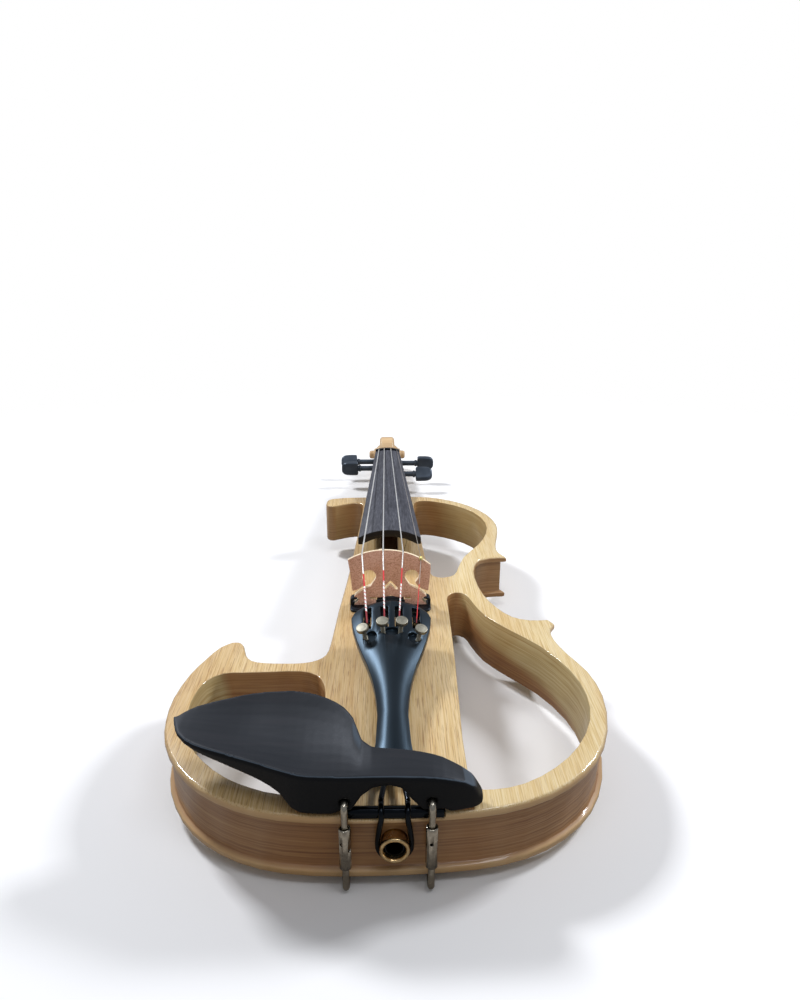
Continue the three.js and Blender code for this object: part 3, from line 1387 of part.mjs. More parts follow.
function makeClamp() {
  const footRods = [];
  [['l', -1], ['r', 1]].forEach(([name, side]) => {
    const across = clampMiddle + side * clampHalf;
    addPiece(`clamp_rod_${name}`, bentRod(
      across, clampAlong, bodyThick + rodRise, tailEdgeAlong + rodInward, barrelTop - rodEngage, true,
    ), 'nickel');
    const inner = boreRound(rodRadius, barrelSegments);
    const profile = [
      [inner, 0], [barrelRadius - clearance, 0], [barrelRadius, clearance],
      [barrelRadius, barrelLong - clearance], [barrelRadius - clearance, barrelLong], [inner, barrelLong],
      [inner, 0],
    ];
    const blank = turned(profile, vec(0, 0, 0), vec(0, 0, 1), barrelSegments);
    const holes = barrelHoleShares.map((share, k) => {
      const arm = (k === 0 ? vec(1, 0, 0) : vec(0, 1, 0)).multiplyScalar(2 * barrelRadius);
      const middle = vec(0, 0, share * barrelLong);
      return bar(middle.clone().sub(arm), middle.clone().add(arm), barrelHole, barrelSegments / 2);
    });
    const barrel = addPiece(`clamp_barrel_${name}`, cut(blank, ...holes), 'nickel');
    barrel.position.set(across, clampAlong, barrelBottom);
    barrel.rotation.z = THREE.MathUtils.degToRad(barrelRestAngles[name]);
    footRods.push(bentRod(
      across, clampAlong, footPlateTop - footPlateThick / 2, tailEdgeAlong + footPlateStart + rodBend,
      barrelBottom + rodEngage, false,
    ));
  });
  const plateBack = tailEdgeAlong + footPlateStart;
  const plateFront = plateBack + footPlateDeep;
  const plate = box(
    vec(clampMiddle - footPlateHalf, plateBack, footPlateTop - footPlateThick),
    vec(clampMiddle + footPlateHalf, plateFront, footPlateTop),
  );
  const ceiling = box(
    vec(-boutHalf, tailEdgeAlong + edgeRound, footPlateTop),
    vec(boutHalf, plateFront + overrun, footPlateTop + overrun),
  );
  addPiece('clamp_foot', cut(join(plate, ...footRods), ceiling), 'nickel');
  addPiece('clamp_foot_cork', box(
    vec(clampMiddle - footPlateHalf + corkInset, plateBack + corkInset, footPlateTop + clearance),
    vec(clampMiddle + footPlateHalf - corkInset, plateFront - corkInset, -clearance),
  ), 'cork');
}

makeBody();
makeNeck();
makeFingerboard();
makeNut();
makeSaddle();
makePegs();
makeStrings();
makeBridge();
makeProtector();
makeTray();
makeTailpiece();
makeTuners();
makeTailGut();
makeJack();
makeChinrest();
makeClamp();

export default root;
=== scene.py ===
import math

import bmesh
import bpy
from mathutils import Matrix, Vector


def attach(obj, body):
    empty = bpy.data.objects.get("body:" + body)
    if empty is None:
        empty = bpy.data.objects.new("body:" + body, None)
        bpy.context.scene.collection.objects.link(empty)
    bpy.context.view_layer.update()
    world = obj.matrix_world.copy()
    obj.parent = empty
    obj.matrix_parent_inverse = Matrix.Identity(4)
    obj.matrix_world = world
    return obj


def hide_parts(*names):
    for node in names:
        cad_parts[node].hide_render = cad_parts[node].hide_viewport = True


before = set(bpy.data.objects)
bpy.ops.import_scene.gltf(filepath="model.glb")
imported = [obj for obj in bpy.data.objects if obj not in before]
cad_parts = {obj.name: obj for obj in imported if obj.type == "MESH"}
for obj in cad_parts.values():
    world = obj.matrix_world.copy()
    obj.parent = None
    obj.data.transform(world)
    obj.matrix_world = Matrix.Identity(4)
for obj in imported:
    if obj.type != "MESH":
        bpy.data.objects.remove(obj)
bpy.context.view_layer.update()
mm = 0.001
root = "violin"
stringNames = "gdae"
print("frame loaded:", len(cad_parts), "solids")


# Camera, at the photograph's angle. Its focal length and the picture's height are in pixels

view = {
    "at": (-3.175, -402.782, 246.713), "turn": 0.0218, "down": 0.3508, "roll": 0.0019,
    "focal": 753.584, "tall": 1000, "sensor": 36,
}


def makeCamera():
    turn, down, roll = view["turn"], view["down"], view["roll"]
    ahead = Vector((math.sin(turn) * math.cos(down), math.cos(turn) * math.cos(down), -math.sin(down)))
    level = Vector((math.cos(turn), -math.sin(turn), 0))
    over = level.cross(ahead)
    right = level * math.cos(roll) + over * math.sin(roll)
    up = over * math.cos(roll) - level * math.sin(roll)
    data = bpy.data.cameras.new("camera")
    data.sensor_fit = "AUTO"
    data.sensor_width = view["sensor"]
    data.lens = view["focal"] / view["tall"] * view["sensor"]
    camera = bpy.data.objects.new("camera", data)
    bpy.context.collection.objects.link(camera)
    stand = Matrix.Translation(Vector(view["at"]) * mm)
    camera.matrix_world = stand @ Matrix((right, up, -ahead)).transposed().to_4x4()
    bpy.context.scene.camera = camera


makeCamera()
print("camera placed")


# Finishes

def paint(code):
    parts = [int(code[k:k + 2], 16) / 255 for k in (1, 3, 5)]
    return tuple(p / 12.92 if p <= 0.04045 else ((p + 0.055) / 1.055) ** 2.4 for p in parts) + (1,)


class Finish:
    # one material: a Principled shader and the nodes that feed it
    def __init__(self, name, **sockets):
        self.material = bpy.data.materials.new(name)
        self.material.use_nodes = True
        self.tree = self.material.node_tree
        self.tree.nodes.clear()
        out = self.tree.nodes.new("ShaderNodeOutputMaterial")
        self.shader = self.tree.nodes.new("ShaderNodeBsdfPrincipled")
        self.tree.links.new(self.shader.outputs[0], out.inputs["Surface"])
        for socket, value in sockets.items():
            self.shader.inputs[socket.replace("_", " ")].default_value = value

    def add(self, kind, feeds=None, **settings):
        node = self.tree.nodes.new(kind)
        for key, value in settings.items():
            setattr(node, key, value)
        for key, value in (feeds or {}).items():
            if isinstance(value, bpy.types.NodeSocket):
                self.tree.links.new(value, node.inputs[key])
            else:
                node.inputs[key].default_value = value
        return node

    def axes(self, vector):
        return self.add("ShaderNodeSeparateXYZ", {0: vector}).outputs

    def facing(self):
        return self.axes(self.add("ShaderNodeNewGeometry").outputs["Normal"])

    # texture coordinates of the piece itself, in cells of the given sizes in millimetres
    def cells(self, x, y, z):
        where = self.add("ShaderNodeTexCoord").outputs["Object"]
        scale = (1 / (x * mm), 1 / (y * mm), 1 / (z * mm))
        return self.add("ShaderNodeMapping", {"Vector": where, "Scale": scale}).outputs[0]

    def noise(self, where, detail, rough=0.5, bend=0.0):
        feeds = {"Vector": where, "Scale": 1.0, "Detail": detail, "Roughness": rough, "Distortion": bend}
        return self.add("ShaderNodeTexNoise", feeds).outputs["Fac"]

    def ramp(self, value, *stops):
        node = self.add("ShaderNodeValToRGB", {"Fac": value})
        line = node.color_ramp.elements
        while len(line) < len(stops):
            line.new(0.5)
        for element, (at, color) in zip(line, stops):
            element.position = at
            element.color = paint(color) if isinstance(color, str) else (color, color, color, 1)
        return node.outputs["Color"]

    def sum(self, how, a, b=0.0, c=0.0):
        return self.add("ShaderNodeMath", {0: a, 1: b, 2: c}, operation=how).outputs[0]

    def blend(self, part, a, b, how="MIX"):
        feeds = {0: part, 6: paint(a) if isinstance(a, str) else a, 7: paint(b) if isinstance(b, str) else b}
        return self.add("ShaderNodeMix", feeds, data_type="RGBA", blend_type=how).outputs[2]

    # 0 at the first value, 1 at the second, eased between them
    def span(self, value, first, second):
        feeds = {"Value": value, "From Min": first, "From Max": second}
        return self.add("ShaderNodeMapRange", feeds, interpolation_type="SMOOTHSTEP").outputs[0]

    # 0 where a surface faces along the axis, 1 where it lies along it
    def edgeOn(self, axis, soft=0.25, middle=0.55):
        level = self.sum("ABSOLUTE", self.facing()[axis])
        feeds = {"Value": level, "From Min": middle + soft, "From Max": middle - soft}
        return self.add("ShaderNodeMapRange", feeds).outputs[0]

    def feed(self, value, socket):
        self.tree.links.new(value, self.shader.inputs[socket])

    def color(self, value):
        self.feed(value, "Base Color")

    def rough(self, value, low, high):
        feeds = {"Value": value, "To Min": low, "To Max": high}
        self.feed(self.add("ShaderNodeMapRange", feeds).outputs[0], "Roughness")

    def relief(self, height, depth, strength):
        feeds = {"Height": height, "Strength": strength, "Distance": depth * mm}
        self.feed(self.add("ShaderNodeBump", feeds).outputs[0], "Normal")


# The colours of the wood's faces, where they change, in millimetres in the violin's frame, and
# by how much. Inward and outward are distances from the middle, and from tailMiddle along
lacquer = {
    "grain": ((0.3, "#bf9c62"), (0.45, "#dac08a"), (0.6, "#e6d3a8"), (0.76, "#d0b078")),
    "wallStops": (0.3, 0.5, 0.7), "cloud": "#ead9c2", "pore": "#8f6036",
    "warm": "#cfa56f", "warmShare": 0.3, "warmSide": (22, 48),
    # the lips, the inward walls above the shade line and the walls toward the neck are lighter as painted
    # light; shade sets a slanted line of painted shadow
    "upperLip": (26.4, 27.6), "lowerLip": (4.6, 3.4), "lipShare": 0.72,
    "inward": (-8, -40), "outward": (4, 24), "tailMiddle": -120,
    "shade": (-6, 4), "shadeSlope": -0.21, "shadeFrom": -95, "shadeEnd": (75, 45),
    "neckwardLight": (-70, 120), "neckwardLightShare": 0.35,
}


# Pale on its faces. The walls are darker as painted shade: brown toward front and back and in the
# outer sides, where they have pale lips of painted light, olive as painted light where a rail faces inward
# above a slanted line of painted shadow, and lighter toward the neck as painted light
def lacqueredWood(name, sides, inward, lip):
    f = Finish(name, Coat_Weight=0.8, Coat_Roughness=0.06, Coat_IOR=1.5, Specular_IOR_Level=0.3)

    def zone(value, key):
        first, second = lacquer[key]
        return f.span(value, first * mm, second * mm)

    x, y, z = f.axes(f.add("ShaderNodeTexCoord").outputs["Object"])
    facingX, facingY, facingZ = f.facing()
    upper = zone(z, "upperLip")
    level = f.sum("SUBTRACT", 1.0, f.edgeOn("Z"))
    face = f.sum("MULTIPLY", level, f.sum("MAXIMUM", upper, f.span(facingZ, -0.3, -0.7)))
    streak = f.noise(f.cells(0.72, 34, 0.72), detail=4, rough=0.66, bend=0.4)
    wallGrain = f.noise(f.cells(60, 60, 0.8), detail=4, rough=0.62, bend=0.5)
    broad = f.noise(f.cells(26, 210, 60), detail=2, rough=0.5, bend=0.8)
    fine = f.noise(f.cells(0.4, 15, 0.4), detail=2, rough=0.6, bend=0.2)

    # wall tones: brown is painted shade, olive is painted light
    brown = f.ramp(wallGrain, *zip(lacquer["wallStops"], sides))
    olive = f.ramp(wallGrain, *zip(lacquer["wallStops"], inward))
    across = f.sum("MULTIPLY", x, facingX)
    # a slanted line of painted shadow on the inward walls: olive above it, brown below it
    slant = f.sum("MULTIPLY", f.sum("SUBTRACT", y, lacquer["shadeFrom"] * mm), zone(y, "shadeEnd"))
    shade = zone(f.sum("MULTIPLY_ADD", slant, lacquer["shadeSlope"], z), "shade")
    wall = f.blend(f.sum("MULTIPLY", zone(across, "inward"), shade), brown, olive)
    # walls lighter toward the neck, painted light
    wall = f.blend(f.sum("MULTIPLY", zone(y, "neckwardLight"), lacquer["neckwardLightShare"]), wall, inward[0])
    # pale lips along the outer walls' upper and lower edges, painted light
    along = f.sum("MULTIPLY", f.sum("SUBTRACT", y, lacquer["tailMiddle"] * mm), facingY)
    outside = zone(f.sum("ADD", across, along), "outward")
    lips = f.sum("MULTIPLY", f.sum("MAXIMUM", upper, zone(z, "lowerLip")), lacquer["lipShare"])
    wall = f.blend(f.sum("MULTIPLY", lips, outside), wall, lip)

    plain = zone(x, "warmSide")
    top = f.ramp(streak, *lacquer["grain"])
    top = f.blend(plain, f.blend(lacquer["warmShare"], top, lacquer["warm"]), top)
    tone = f.ramp(broad, (0.35, lacquer["cloud"]), (0.65, "#ffffff"))
    toned = f.blend(0.6, f.blend(face, wall, top), tone, "MULTIPLY")
    pores = f.sum("MULTIPLY", f.ramp(fine, (0.55, 0.0), (0.63, 1.0)), face)
    poreShare = f.sum("MULTIPLY", pores, f.sum("MULTIPLY_ADD", plain, -0.35, 0.55))
    f.color(f.blend(poreShare, toned, lacquer["pore"]))
    f.rough(streak, 0.34, 0.5)
    f.relief(f.sum("SUBTRACT", streak, f.sum("MULTIPLY", pores, 0.5)), depth=0.03, strength=0.3)
    return f.material


# Flecked on its front and back, pale where it is cut
def bridgeWood():
    f = Finish("bridgeWood", Specular_IOR_Level=0.3)
    fleck = f.noise(f.cells(0.95, 0.95, 0.7), detail=3, rough=0.7, bend=0.6)
    face = f.ramp(fleck, (0.34, "#bd8872"), (0.48, "#dba78f"), (0.6, "#ecc2ab"), (0.74, "#d3a089"))
    pale = f.ramp(f.noise(f.cells(0.8, 6, 3), detail=3, rough=0.6), (0.35, "#e2c8a2"), (0.65, "#f3e4c8"))
    f.color(f.blend(f.edgeOn("Y", soft=0.12), face, pale))
    f.rough(fleck, 0.5, 0.72)
    f.relief(fleck, depth=0.05, strength=0.4)
    return f.material


# Streaked and worn on top, near black at its two ends as painted shade
def boardWood():
    f = Finish("boardWood", Specular_IOR_Level=0.35)
    streak = f.noise(f.cells(0.75, 190, 0.75), detail=4, rough=0.65, bend=0.3)
    broad = f.noise(f.cells(5, 240, 5), detail=2)
    face = f.ramp(streak, (0.32, "#36373e"), (0.5, "#4a4b53"), (0.68, "#63656d"))
    worn = f.blend(0.4, face, f.ramp(broad, (0.35, "#8d8d92"), (0.7, "#ffffff")), "MULTIPLY")
    # the ends, facing along the board, are near black: painted shade
    f.color(f.blend(f.edgeOn("Y", soft=0.1), "#040405", worn))
    f.rough(streak, 0.42, 0.6)
    f.relief(streak, depth=0.04, strength=0.3)
    return f.material


# Satin with faint streaks on top. Its walls are near black as painted shade, and a band where the top turns
# down is lighter as a painted highlight
def ebonyWood():
    f = Finish("ebonyWood", Specular_IOR_Level=0.3, Specular_Tint=paint("#e6edf6"))
    streak = f.noise(f.cells(45, 3.5, 9), detail=4, rough=0.6, bend=0.7)
    fine = f.noise(f.cells(0.9, 0.35, 0.9), detail=3, rough=0.6)
    top = f.ramp(streak, (0.3, "#1d1f23"), (0.52, "#212327"), (0.72, "#26262a"))
    up = f.facing()["Z"]
    # the top keeps its tone; the turn at its edge is lighter, a painted highlight; the walls are near black,
    # painted shade
    flat = f.span(up, 0.76, 0.86)
    rimHighlight = f.sum("SUBTRACT", f.span(up, 0.52, 0.66), flat)
    f.color(f.blend(rimHighlight, f.blend(flat, "#040405", top), "#4a5560"))
    f.rough(f.sum("SUBTRACT", fine, f.sum("MULTIPLY", rimHighlight, 0.6)), 0.46, 0.62)
    f.relief(fine, depth=0.02, strength=0.2)
    return f.material


def satinBlack(name, tones, rough, grain=0.4, sheen=0.5, tint="#cfe4ff"):
    f = Finish(name, Specular_IOR_Level=sheen, Specular_Tint=paint(tint))
    fine = f.noise(f.cells(grain, grain, grain), detail=3, rough=0.6)
    f.color(f.ramp(f.noise(f.cells(14, 30, 14), detail=2), (0.35, tones[0]), (0.7, tones[1])))
    f.rough(fine, *rough)
    f.relief(fine, depth=0.02, strength=0.25)
    return f.material


def platedMetal(name, tones, rough):
    f = Finish(name, Metallic=1.0)
    cloud = f.noise(f.cells(2.5, 2.5, 2.5), detail=3, rough=0.6, bend=0.4)
    scratch = f.noise(f.cells(0.12, 1.6, 0.12), detail=2, rough=0.6)
    f.color(f.ramp(cloud, (0.35, tones[0]), (0.7, tones[1])))
    f.rough(f.sum("MULTIPLY", cloud, f.sum("ADD", scratch, 0.4)), *rough)
    f.relief(scratch, depth=0.01, strength=0.2)
    return f.material


def corkFinish():
    f = Finish("cork", Specular_IOR_Level=0.2)
    feeds = {"Vector": f.cells(1.1, 1.1, 1.1), "Scale": 1.0}
    grain = f.add("ShaderNodeTexVoronoi", feeds).outputs["Distance"]
    f.color(f.ramp(grain, (0.1, "#b98d5f"), (0.5, "#9b7146"), (0.85, "#5f4128")))
    f.rough(grain, 0.8, 0.95)
    f.relief(grain, depth=0.15, strength=0.6)
    return f.material


def beadFinish():
    f = Finish("bead", Specular_IOR_Level=0.5)
    cloud = f.noise(f.cells(0.8, 0.8, 0.8), detail=2)
    f.color(f.ramp(cloud, (0.35, "#fbea78"), (0.7, "#fff6b4")))
    f.rough(cloud, 0.2, 0.35)
    return f.material


finishes = {
    # sides: the walls' brown tones, painted shade; inward and lip: lighter wall tones, painted light
    "maple": lacqueredWood("lacqueredWood", sides=("#8c6240", "#aa7e53", "#ba9264"),
                           inward=("#b29360", "#d0bd8a", "#dccd9f"), lip="#e2bf8b"),
    # the neck's tones are lighter than the body's, partly the wood's own tone and partly painted highlight
    "neck": lacqueredWood("neckWood", sides=("#d9b587", "#e8ca9f", "#efd6b0"),
                          inward=("#dab98c", "#e9cfa3", "#f0d9b2"), lip="#efd8b2"),
    "bridge_wood": bridgeWood(),
    "board": boardWood(),
    "black_satin": satinBlack("satinBlack", ("#0a0c0e", "#121518"), (0.29, 0.38), sheen=0.8, tint="#aad3f2"),
    "black_gloss": satinBlack("glossBlack", ("#020202", "#050506"), (0.1, 0.17), sheen=0.25),
    "gut": satinBlack("gutBlack", ("#020202", "#050506"), (0.12, 0.22), grain=1.2, sheen=0.25),
    "tray": satinBlack("trayBlack", ("#060607", "#0e0e0f"), (0.3, 0.5), grain=0.25),
    "lead": satinBlack("leadSheath", ("#101011", "#191919"), (0.5, 0.7)),
    "yellow": beadFinish(),
    "brass": platedMetal("brass", ("#d2b07c", "#eed4a4"), (0.14, 0.34)),
    # the string balls are a dark copy of the brass, painted shade in the tailpiece's slots
    "ball": platedMetal("shadedBallBrass", ("#2e2416", "#463820"), (0.3, 0.5)),
    "nickel": platedMetal("nickel", ("#a8a193", "#c8c1b1"), (0.14, 0.34)),
    "knob": platedMetal("knobNickel", ("#908d7f", "#aaa697"), (0.46, 0.62)),
    "pin_steel": platedMetal("pinSteel", ("#8b8b89", "#a8a8a5"), (0.2, 0.4)),
    "cork": corkFinish(),
    "ebony": ebonyWood(),
    "pegs": satinBlack("pegBlack", ("#333940", "#495059"), (0.24, 0.38), grain=0.6),
}
print("finishes mixed:", len(finishes))


# Making. Each made piece takes the name of the solid that it stands for

clean = {"join": 0.004, "flat": 0.6, "weld": 0.001}  # millimetres, degrees, millimetres
domeAngles = [math.radians(a) for a in (35, 62, 82)]


def finishPiece(node, mesh, finish, body, sharp=None):
    shell = bmesh.new()
    shell.from_mesh(mesh)
    bmesh.ops.recalc_face_normals(shell, faces=shell.faces)
    shell.to_mesh(mesh)
    shell.free()
    mesh.polygons.foreach_set("use_smooth", [True] * len(mesh.polygons))
    if sharp:
        mesh.set_sharp_from_angle(angle=math.radians(sharp))
    mesh.materials.clear()
    mesh.materials.append(finishes[finish])
    piece = bpy.data.objects.new(node + "_made", mesh)
    bpy.context.collection.objects.link(piece)
    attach(piece, body)
    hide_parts(node)
    return piece


def meshPiece(node, verts, faces, finish, body, sharp):
    mesh = bpy.data.meshes.new(node + "_made")
    mesh.from_pydata([tuple(v) for v in verts], [], faces)
    return finishPiece(node, mesh, finish, body, sharp)


# The solid's own mesh with its corners joined and its flat faces whole
def cleanCopy(node):
    shell = bmesh.new()
    shell.from_mesh(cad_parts[node].data)
    bmesh.ops.remove_doubles(shell, verts=shell.verts, dist=clean["join"] * mm)
    angle = math.radians(clean["flat"])
    bmesh.ops.dissolve_limit(shell, angle_limit=angle, verts=shell.verts, edges=shell.edges)
    mesh = bpy.data.meshes.new(node)
    shell.to_mesh(mesh)
    shell.free()
    return mesh


# A made piece over its solid, with its corners eased by a small round
def eased(node, body, finish, edge, steps=2, angle=32):
    piece = finishPiece(node, cleanCopy(node), finish, body)
    ease = piece.modifiers.new("eased edges", "BEVEL")
    ease.width = edge * mm
    ease.segments = steps
    ease.limit_method = "ANGLE"
    ease.angle_limit = math.radians(angle)
    ease.use_clamp_overlap = False
    ease.harden_normals = True
    ease.miter_outer = "MITER_ARC"
    weld = piece.modifiers.new("joined corners", "WELD")
    weld.mode = "CONNECTED"
    weld.merge_threshold = clean["weld"] * mm
    return piece


# A carved piece: remeshed finely and rubbed smooth
def carved(node, body, finish, grain, rubs):
    piece = finishPiece(node, cleanCopy(node), finish, body)
    remesh = piece.modifiers.new("carving", "REMESH")
    remesh.mode = "VOXEL"
    remesh.voxel_size = grain * mm
    remesh.use_smooth_shade = True
    rub = piece.modifiers.new("rubbed", "SMOOTH")
    rub.factor = 0.5
    rub.iterations = rubs
    return piece


# A curve through the knots that doesn't overshoot where they lie close together
def smoothPath(knots, steps):
    knots = [Vector(k) for k in knots]
    rows = [knots[0] * 2 - knots[1], *knots, knots[-1] * 2 - knots[-2]]
    path = []
    for k in range(1, len(rows) - 2):
        p0, p1, p2, p3 = rows[k - 1:k + 3]
        t1 = (p1 - p0).length ** 0.5
        t2 = t1 + (p2 - p1).length ** 0.5
        t3 = t2 + (p3 - p2).length ** 0.5
        for s in range(steps):
            t = t1 + (t2 - t1) * s / steps
            a = p0.lerp(p1, t / t1)
            b = p1.lerp(p2, (t - t1) / (t2 - t1))
            c = p2.lerp(p3, (t - t2) / (t3 - t2))
            path.append(a.lerp(b, t / t2).lerp(b.lerp(c, (t - t1) / (t3 - t1)), (t - t1) / (t2 - t1)))
    path.append(rows[-2])
    return path


def quarterTurn(steps):
    return [math.pi / 2 * k / steps for k in range(steps + 1)]


# Quads from ring to ring, with a face at each end or, in a hollow piece, back to the first ring
def tubeFaces(rings, sides, hollow=False):
    faces = []
    for j in range(rings if hollow else rings - 1):
        here, there = j * sides, (j + 1) % rings * sides
        for k in range(sides):
            n = (k + 1) % sides
            faces.append((here + k, here + n, there + n, there + k))
    if not hollow:
        faces += [tuple(range(sides))[::-1], tuple(there + k for k in range(sides))]
    return faces


# A round piece along a path, with domed ends. Radii may change from point to point. The
# layer called winding holds the turn around the piece and the length along it
def sweep(node, path, radii, sides, finish, body):
    path = [Vector(p) * mm for p in path]
    radii = [r * mm for r in (radii if isinstance(radii, list) else [radii] * len(path))]
    last = len(path) - 1
    tangents = [(path[min(k + 1, last)] - path[max(k - 1, 0)]).normalized() for k in range(last + 1)]
    side = tangents[0].orthogonal().normalized()
    rings = []
    run = 0.0
    for k, p in enumerate(path):
        if k:
            side = tangents[k - 1].rotation_difference(tangents[k]) @ side
            run += (p - path[k - 1]).length
        rings.append((p, tangents[k], side.copy(), radii[k], run))

    def cap(ring, sign):
        p, t, s, r, at = ring
        return [(p + t * sign * r * math.sin(a), t, s, r * math.cos(a), at) for a in domeAngles]

    rings = cap(rings[0], -1)[::-1] + rings + cap(rings[-1], 1)
    verts, lays = [], []
    for p, t, s, r, at in rings:
        other = t.cross(s)
        for k in range(sides):
            a = 2 * math.pi * k / sides
            verts.append(p + s * r * math.cos(a) + other * r * math.sin(a))
    for (*_, low), (*_, high) in zip(rings, rings[1:]):
        for k in range(sides):
            u, v = k / sides, (k + 1) / sides
            lays.append(((u, low), (v, low), (v, high), (u, high)))
    lays += [((0, 0),) * sides, ((0, run),) * sides]
    mesh = bpy.data.meshes.new(node + "_made")
    mesh.from_pydata([tuple(v) for v in verts], [], tubeFaces(len(rings), sides))
    layer = mesh.uv_layers.new(name="winding")
    layer.data.foreach_set("uv", [value for face in lays for pair in face for value in pair])
    return finishPiece(node, mesh, finish, body)


# Rows of (along, radius), from rows given as steps away from a foot and a radius
def profile(foot, radius, rows):
    return [(foot + a, radius + r) for a, r in rows]


# A turned piece on an axis. Ribs are the places of the knurled rows and the knurling's depth
def turned(node, rows, foot, axis, finish, body, sides, sharp, ribs=((), 0), hollow=False):
    axis = Vector(axis).normalized()
    side = axis.orthogonal().normalized()
    other = axis.cross(side)
    foot = Vector(foot)
    ribbed, depth = ribs
    verts = []
    for j, (along, radius) in enumerate(rows):
        for k in range(sides):
            a = 2 * math.pi * k / sides
            r = radius - (depth if j in ribbed and k % 2 else 0)
            verts.append((foot + axis * along + side * r * math.cos(a) + other * r * math.sin(a)) * mm)
    return meshPiece(node, verts, tubeFaces(len(rows), sides, hollow), finish, body, sharp)


# Body, neck and fingerboard

wood = {"bodyEdge": 0.55, "boardEdge": 0.5, "nutEdge": 0.12, "saddleEdge": 0.5, "grain": 0.55, "rubs": 4}
eased("body", root, "maple", wood["bodyEdge"], steps=3)
carved("neck_scroll", root, "neck", wood["grain"], wood["rubs"])
eased("fingerboard", root, "board", wood["boardEdge"])
eased("nut", root, "black_gloss", wood["nutEdge"], steps=1, angle=50)
eased("saddle", root, "black_gloss", wood["saddleEdge"], steps=3)
print("body, neck and fingerboard made")


# Bridge and its pickup tray

bridge = {"edge": 0.1, "trayEdge": 0.35, "protectorEdge": 0.1}
eased("bridge", root, "bridge_wood", bridge["edge"], angle=40)
eased("bridge_pickup", root, "tray", bridge["trayEdge"])
eased("string_protector", root, "yellow", bridge["protectorEdge"], steps=1, angle=60)
print("bridge made")


# Tailpiece, levers and tuner screws. The black levers are made wider than their solids, so that the lit wood
# below them hardly shows: they fill the slots as painted shade.
# Point, root and shoulder are shares of the stem's radius

tuners = {
    "g": {"base": (-13.2, -67.37, 49.65), "axis": (-0.2237, -0.2301, 0.9471), "tip": -1.98, "lever": -12.6},
    "d": {"base": (-4.3, -65.05, 51.96), "axis": (-0.0521, -0.2332, 0.971), "tip": -4.07, "lever": -3.6},
    "a": {"base": (4.6, -64.85, 51.96), "axis": (0.0867, -0.2329, 0.9686), "tip": -4.03, "lever": 4},
    "e": {"base": (13.6, -68.33, 49.3), "axis": (0.1898, -0.231, 0.9543), "tip": -1.77, "lever": 13.1},
    "tailpieceEdge": 0.25, "leverEdge": 0.2, "leverShadeWidth": 1.2, "ballEdge": 0.35,
    "stem": 1.1, "point": 0.55, "shoulder": 0.96, "root": 0.86, "pointLong": 0.4,
    "pitch": 0.45, "threadFrom": 0.5, "threadEnd": 1.3,
    "knob": 3.15, "under": 5.4, "thick": 2.2, "sides": 72, "ribDepth": 0.09,
    "collar": ((-1.1, 0.99), (-1, 1.55), (0, 1.7)),
    "underRim": ((0, -0.55), (0.12, -0.2), (0.4, 0)),
    "topRim": ((-0.5, 0), (-0.16, -0.12), (0, -0.5), (-0.04, -0.75)),
    "crown": ((0.12, 1.7325), (0.17, 0.7875), (0.18, 0.05)),
}


def tunerScrew(name):
    t, one = tuners, tuners[name]
    stem, low, high = t["stem"], t["under"], t["under"] + t["thick"]
    rows = [(one["tip"], stem * t["point"]), (one["tip"] + t["pointLong"], stem * t["shoulder"])]
    along = one["tip"] + t["threadFrom"]
    while along < low - t["threadEnd"]:
        rows += [(along, stem), (along + t["pitch"] / 2, stem * t["root"])]
        along += t["pitch"]
    rows += profile(low, 0, t["collar"]) + profile(low, t["knob"], t["underRim"])
    ribbed = (len(rows) - 1, len(rows))
    rows += profile(high, t["knob"], t["topRim"]) + profile(high, 0, t["crown"])
    turned(f"tuner_screw_{name}", rows, one["base"], one["axis"], "knob", f"screw_{name}", t["sides"], 35,
           (ribbed, t["ribDepth"]))


def tunerLever(name):
    lever = eased(f"tuner_lever_{name}", f"lever_{name}", "black_gloss", tuners["leverEdge"], angle=40)
    middle = tuners[name]["lever"] * mm
    # the black lever made wider over its slot, painted shade
    for corner in lever.data.vertices:
        corner.co.x = middle + (corner.co.x - middle) * tuners["leverShadeWidth"]


eased("tailpiece", root, "black_satin", tuners["tailpieceEdge"], angle=40)
for n in stringNames:
    tunerScrew(n)
    tunerLever(n)
    eased(f"string_ball_{n}", f"lever_{n}", "ball", tuners["ballEdge"], steps=3, angle=60)
print("tailpiece and tuners made")


# Strings, from the levers over bridge and nut to two turns on their pegs

strings = {
    "g": {"radius": 0.42, "hook": (-12.6, -56.06, 51.06), "bridge": (-16.55, 0, 66.25),
          "nut": (-8.52, 330.6, 32.97), "peg": (357.532, 4.38), "side": -1},
    "d": {"radius": 0.38, "hook": (-3.6, -56.27, 52.65), "bridge": (-4.2, 0, 68.48),
          "nut": (-3.24, 330.6, 33.71), "peg": (386.957, 2.373), "side": -1},
    "a": {"radius": 0.34, "hook": (4, -56.27, 52.65), "bridge": (7.44, 0, 67.18),
          "nut": (3.36, 330.6, 33.7), "peg": (374.01, 4.692), "side": 1},
    "e": {"radius": 0.2, "hook": (13.1, -56.06, 51.06), "bridge": (18.01, 0, 62.87),
          "nut": (9.36, 330.6, 32.79), "peg": (342.766, 2.685), "side": 1},
    "shaft": 3.9, "play": 0.3, "turns": 2, "gap": 0.5, "bend": 3.0, "silkThicker": 1.16, "winding": 0.35,
    "sides": 14, "loopSteps": 40, "tailSteps": 48, "boardSteps": 12,
}
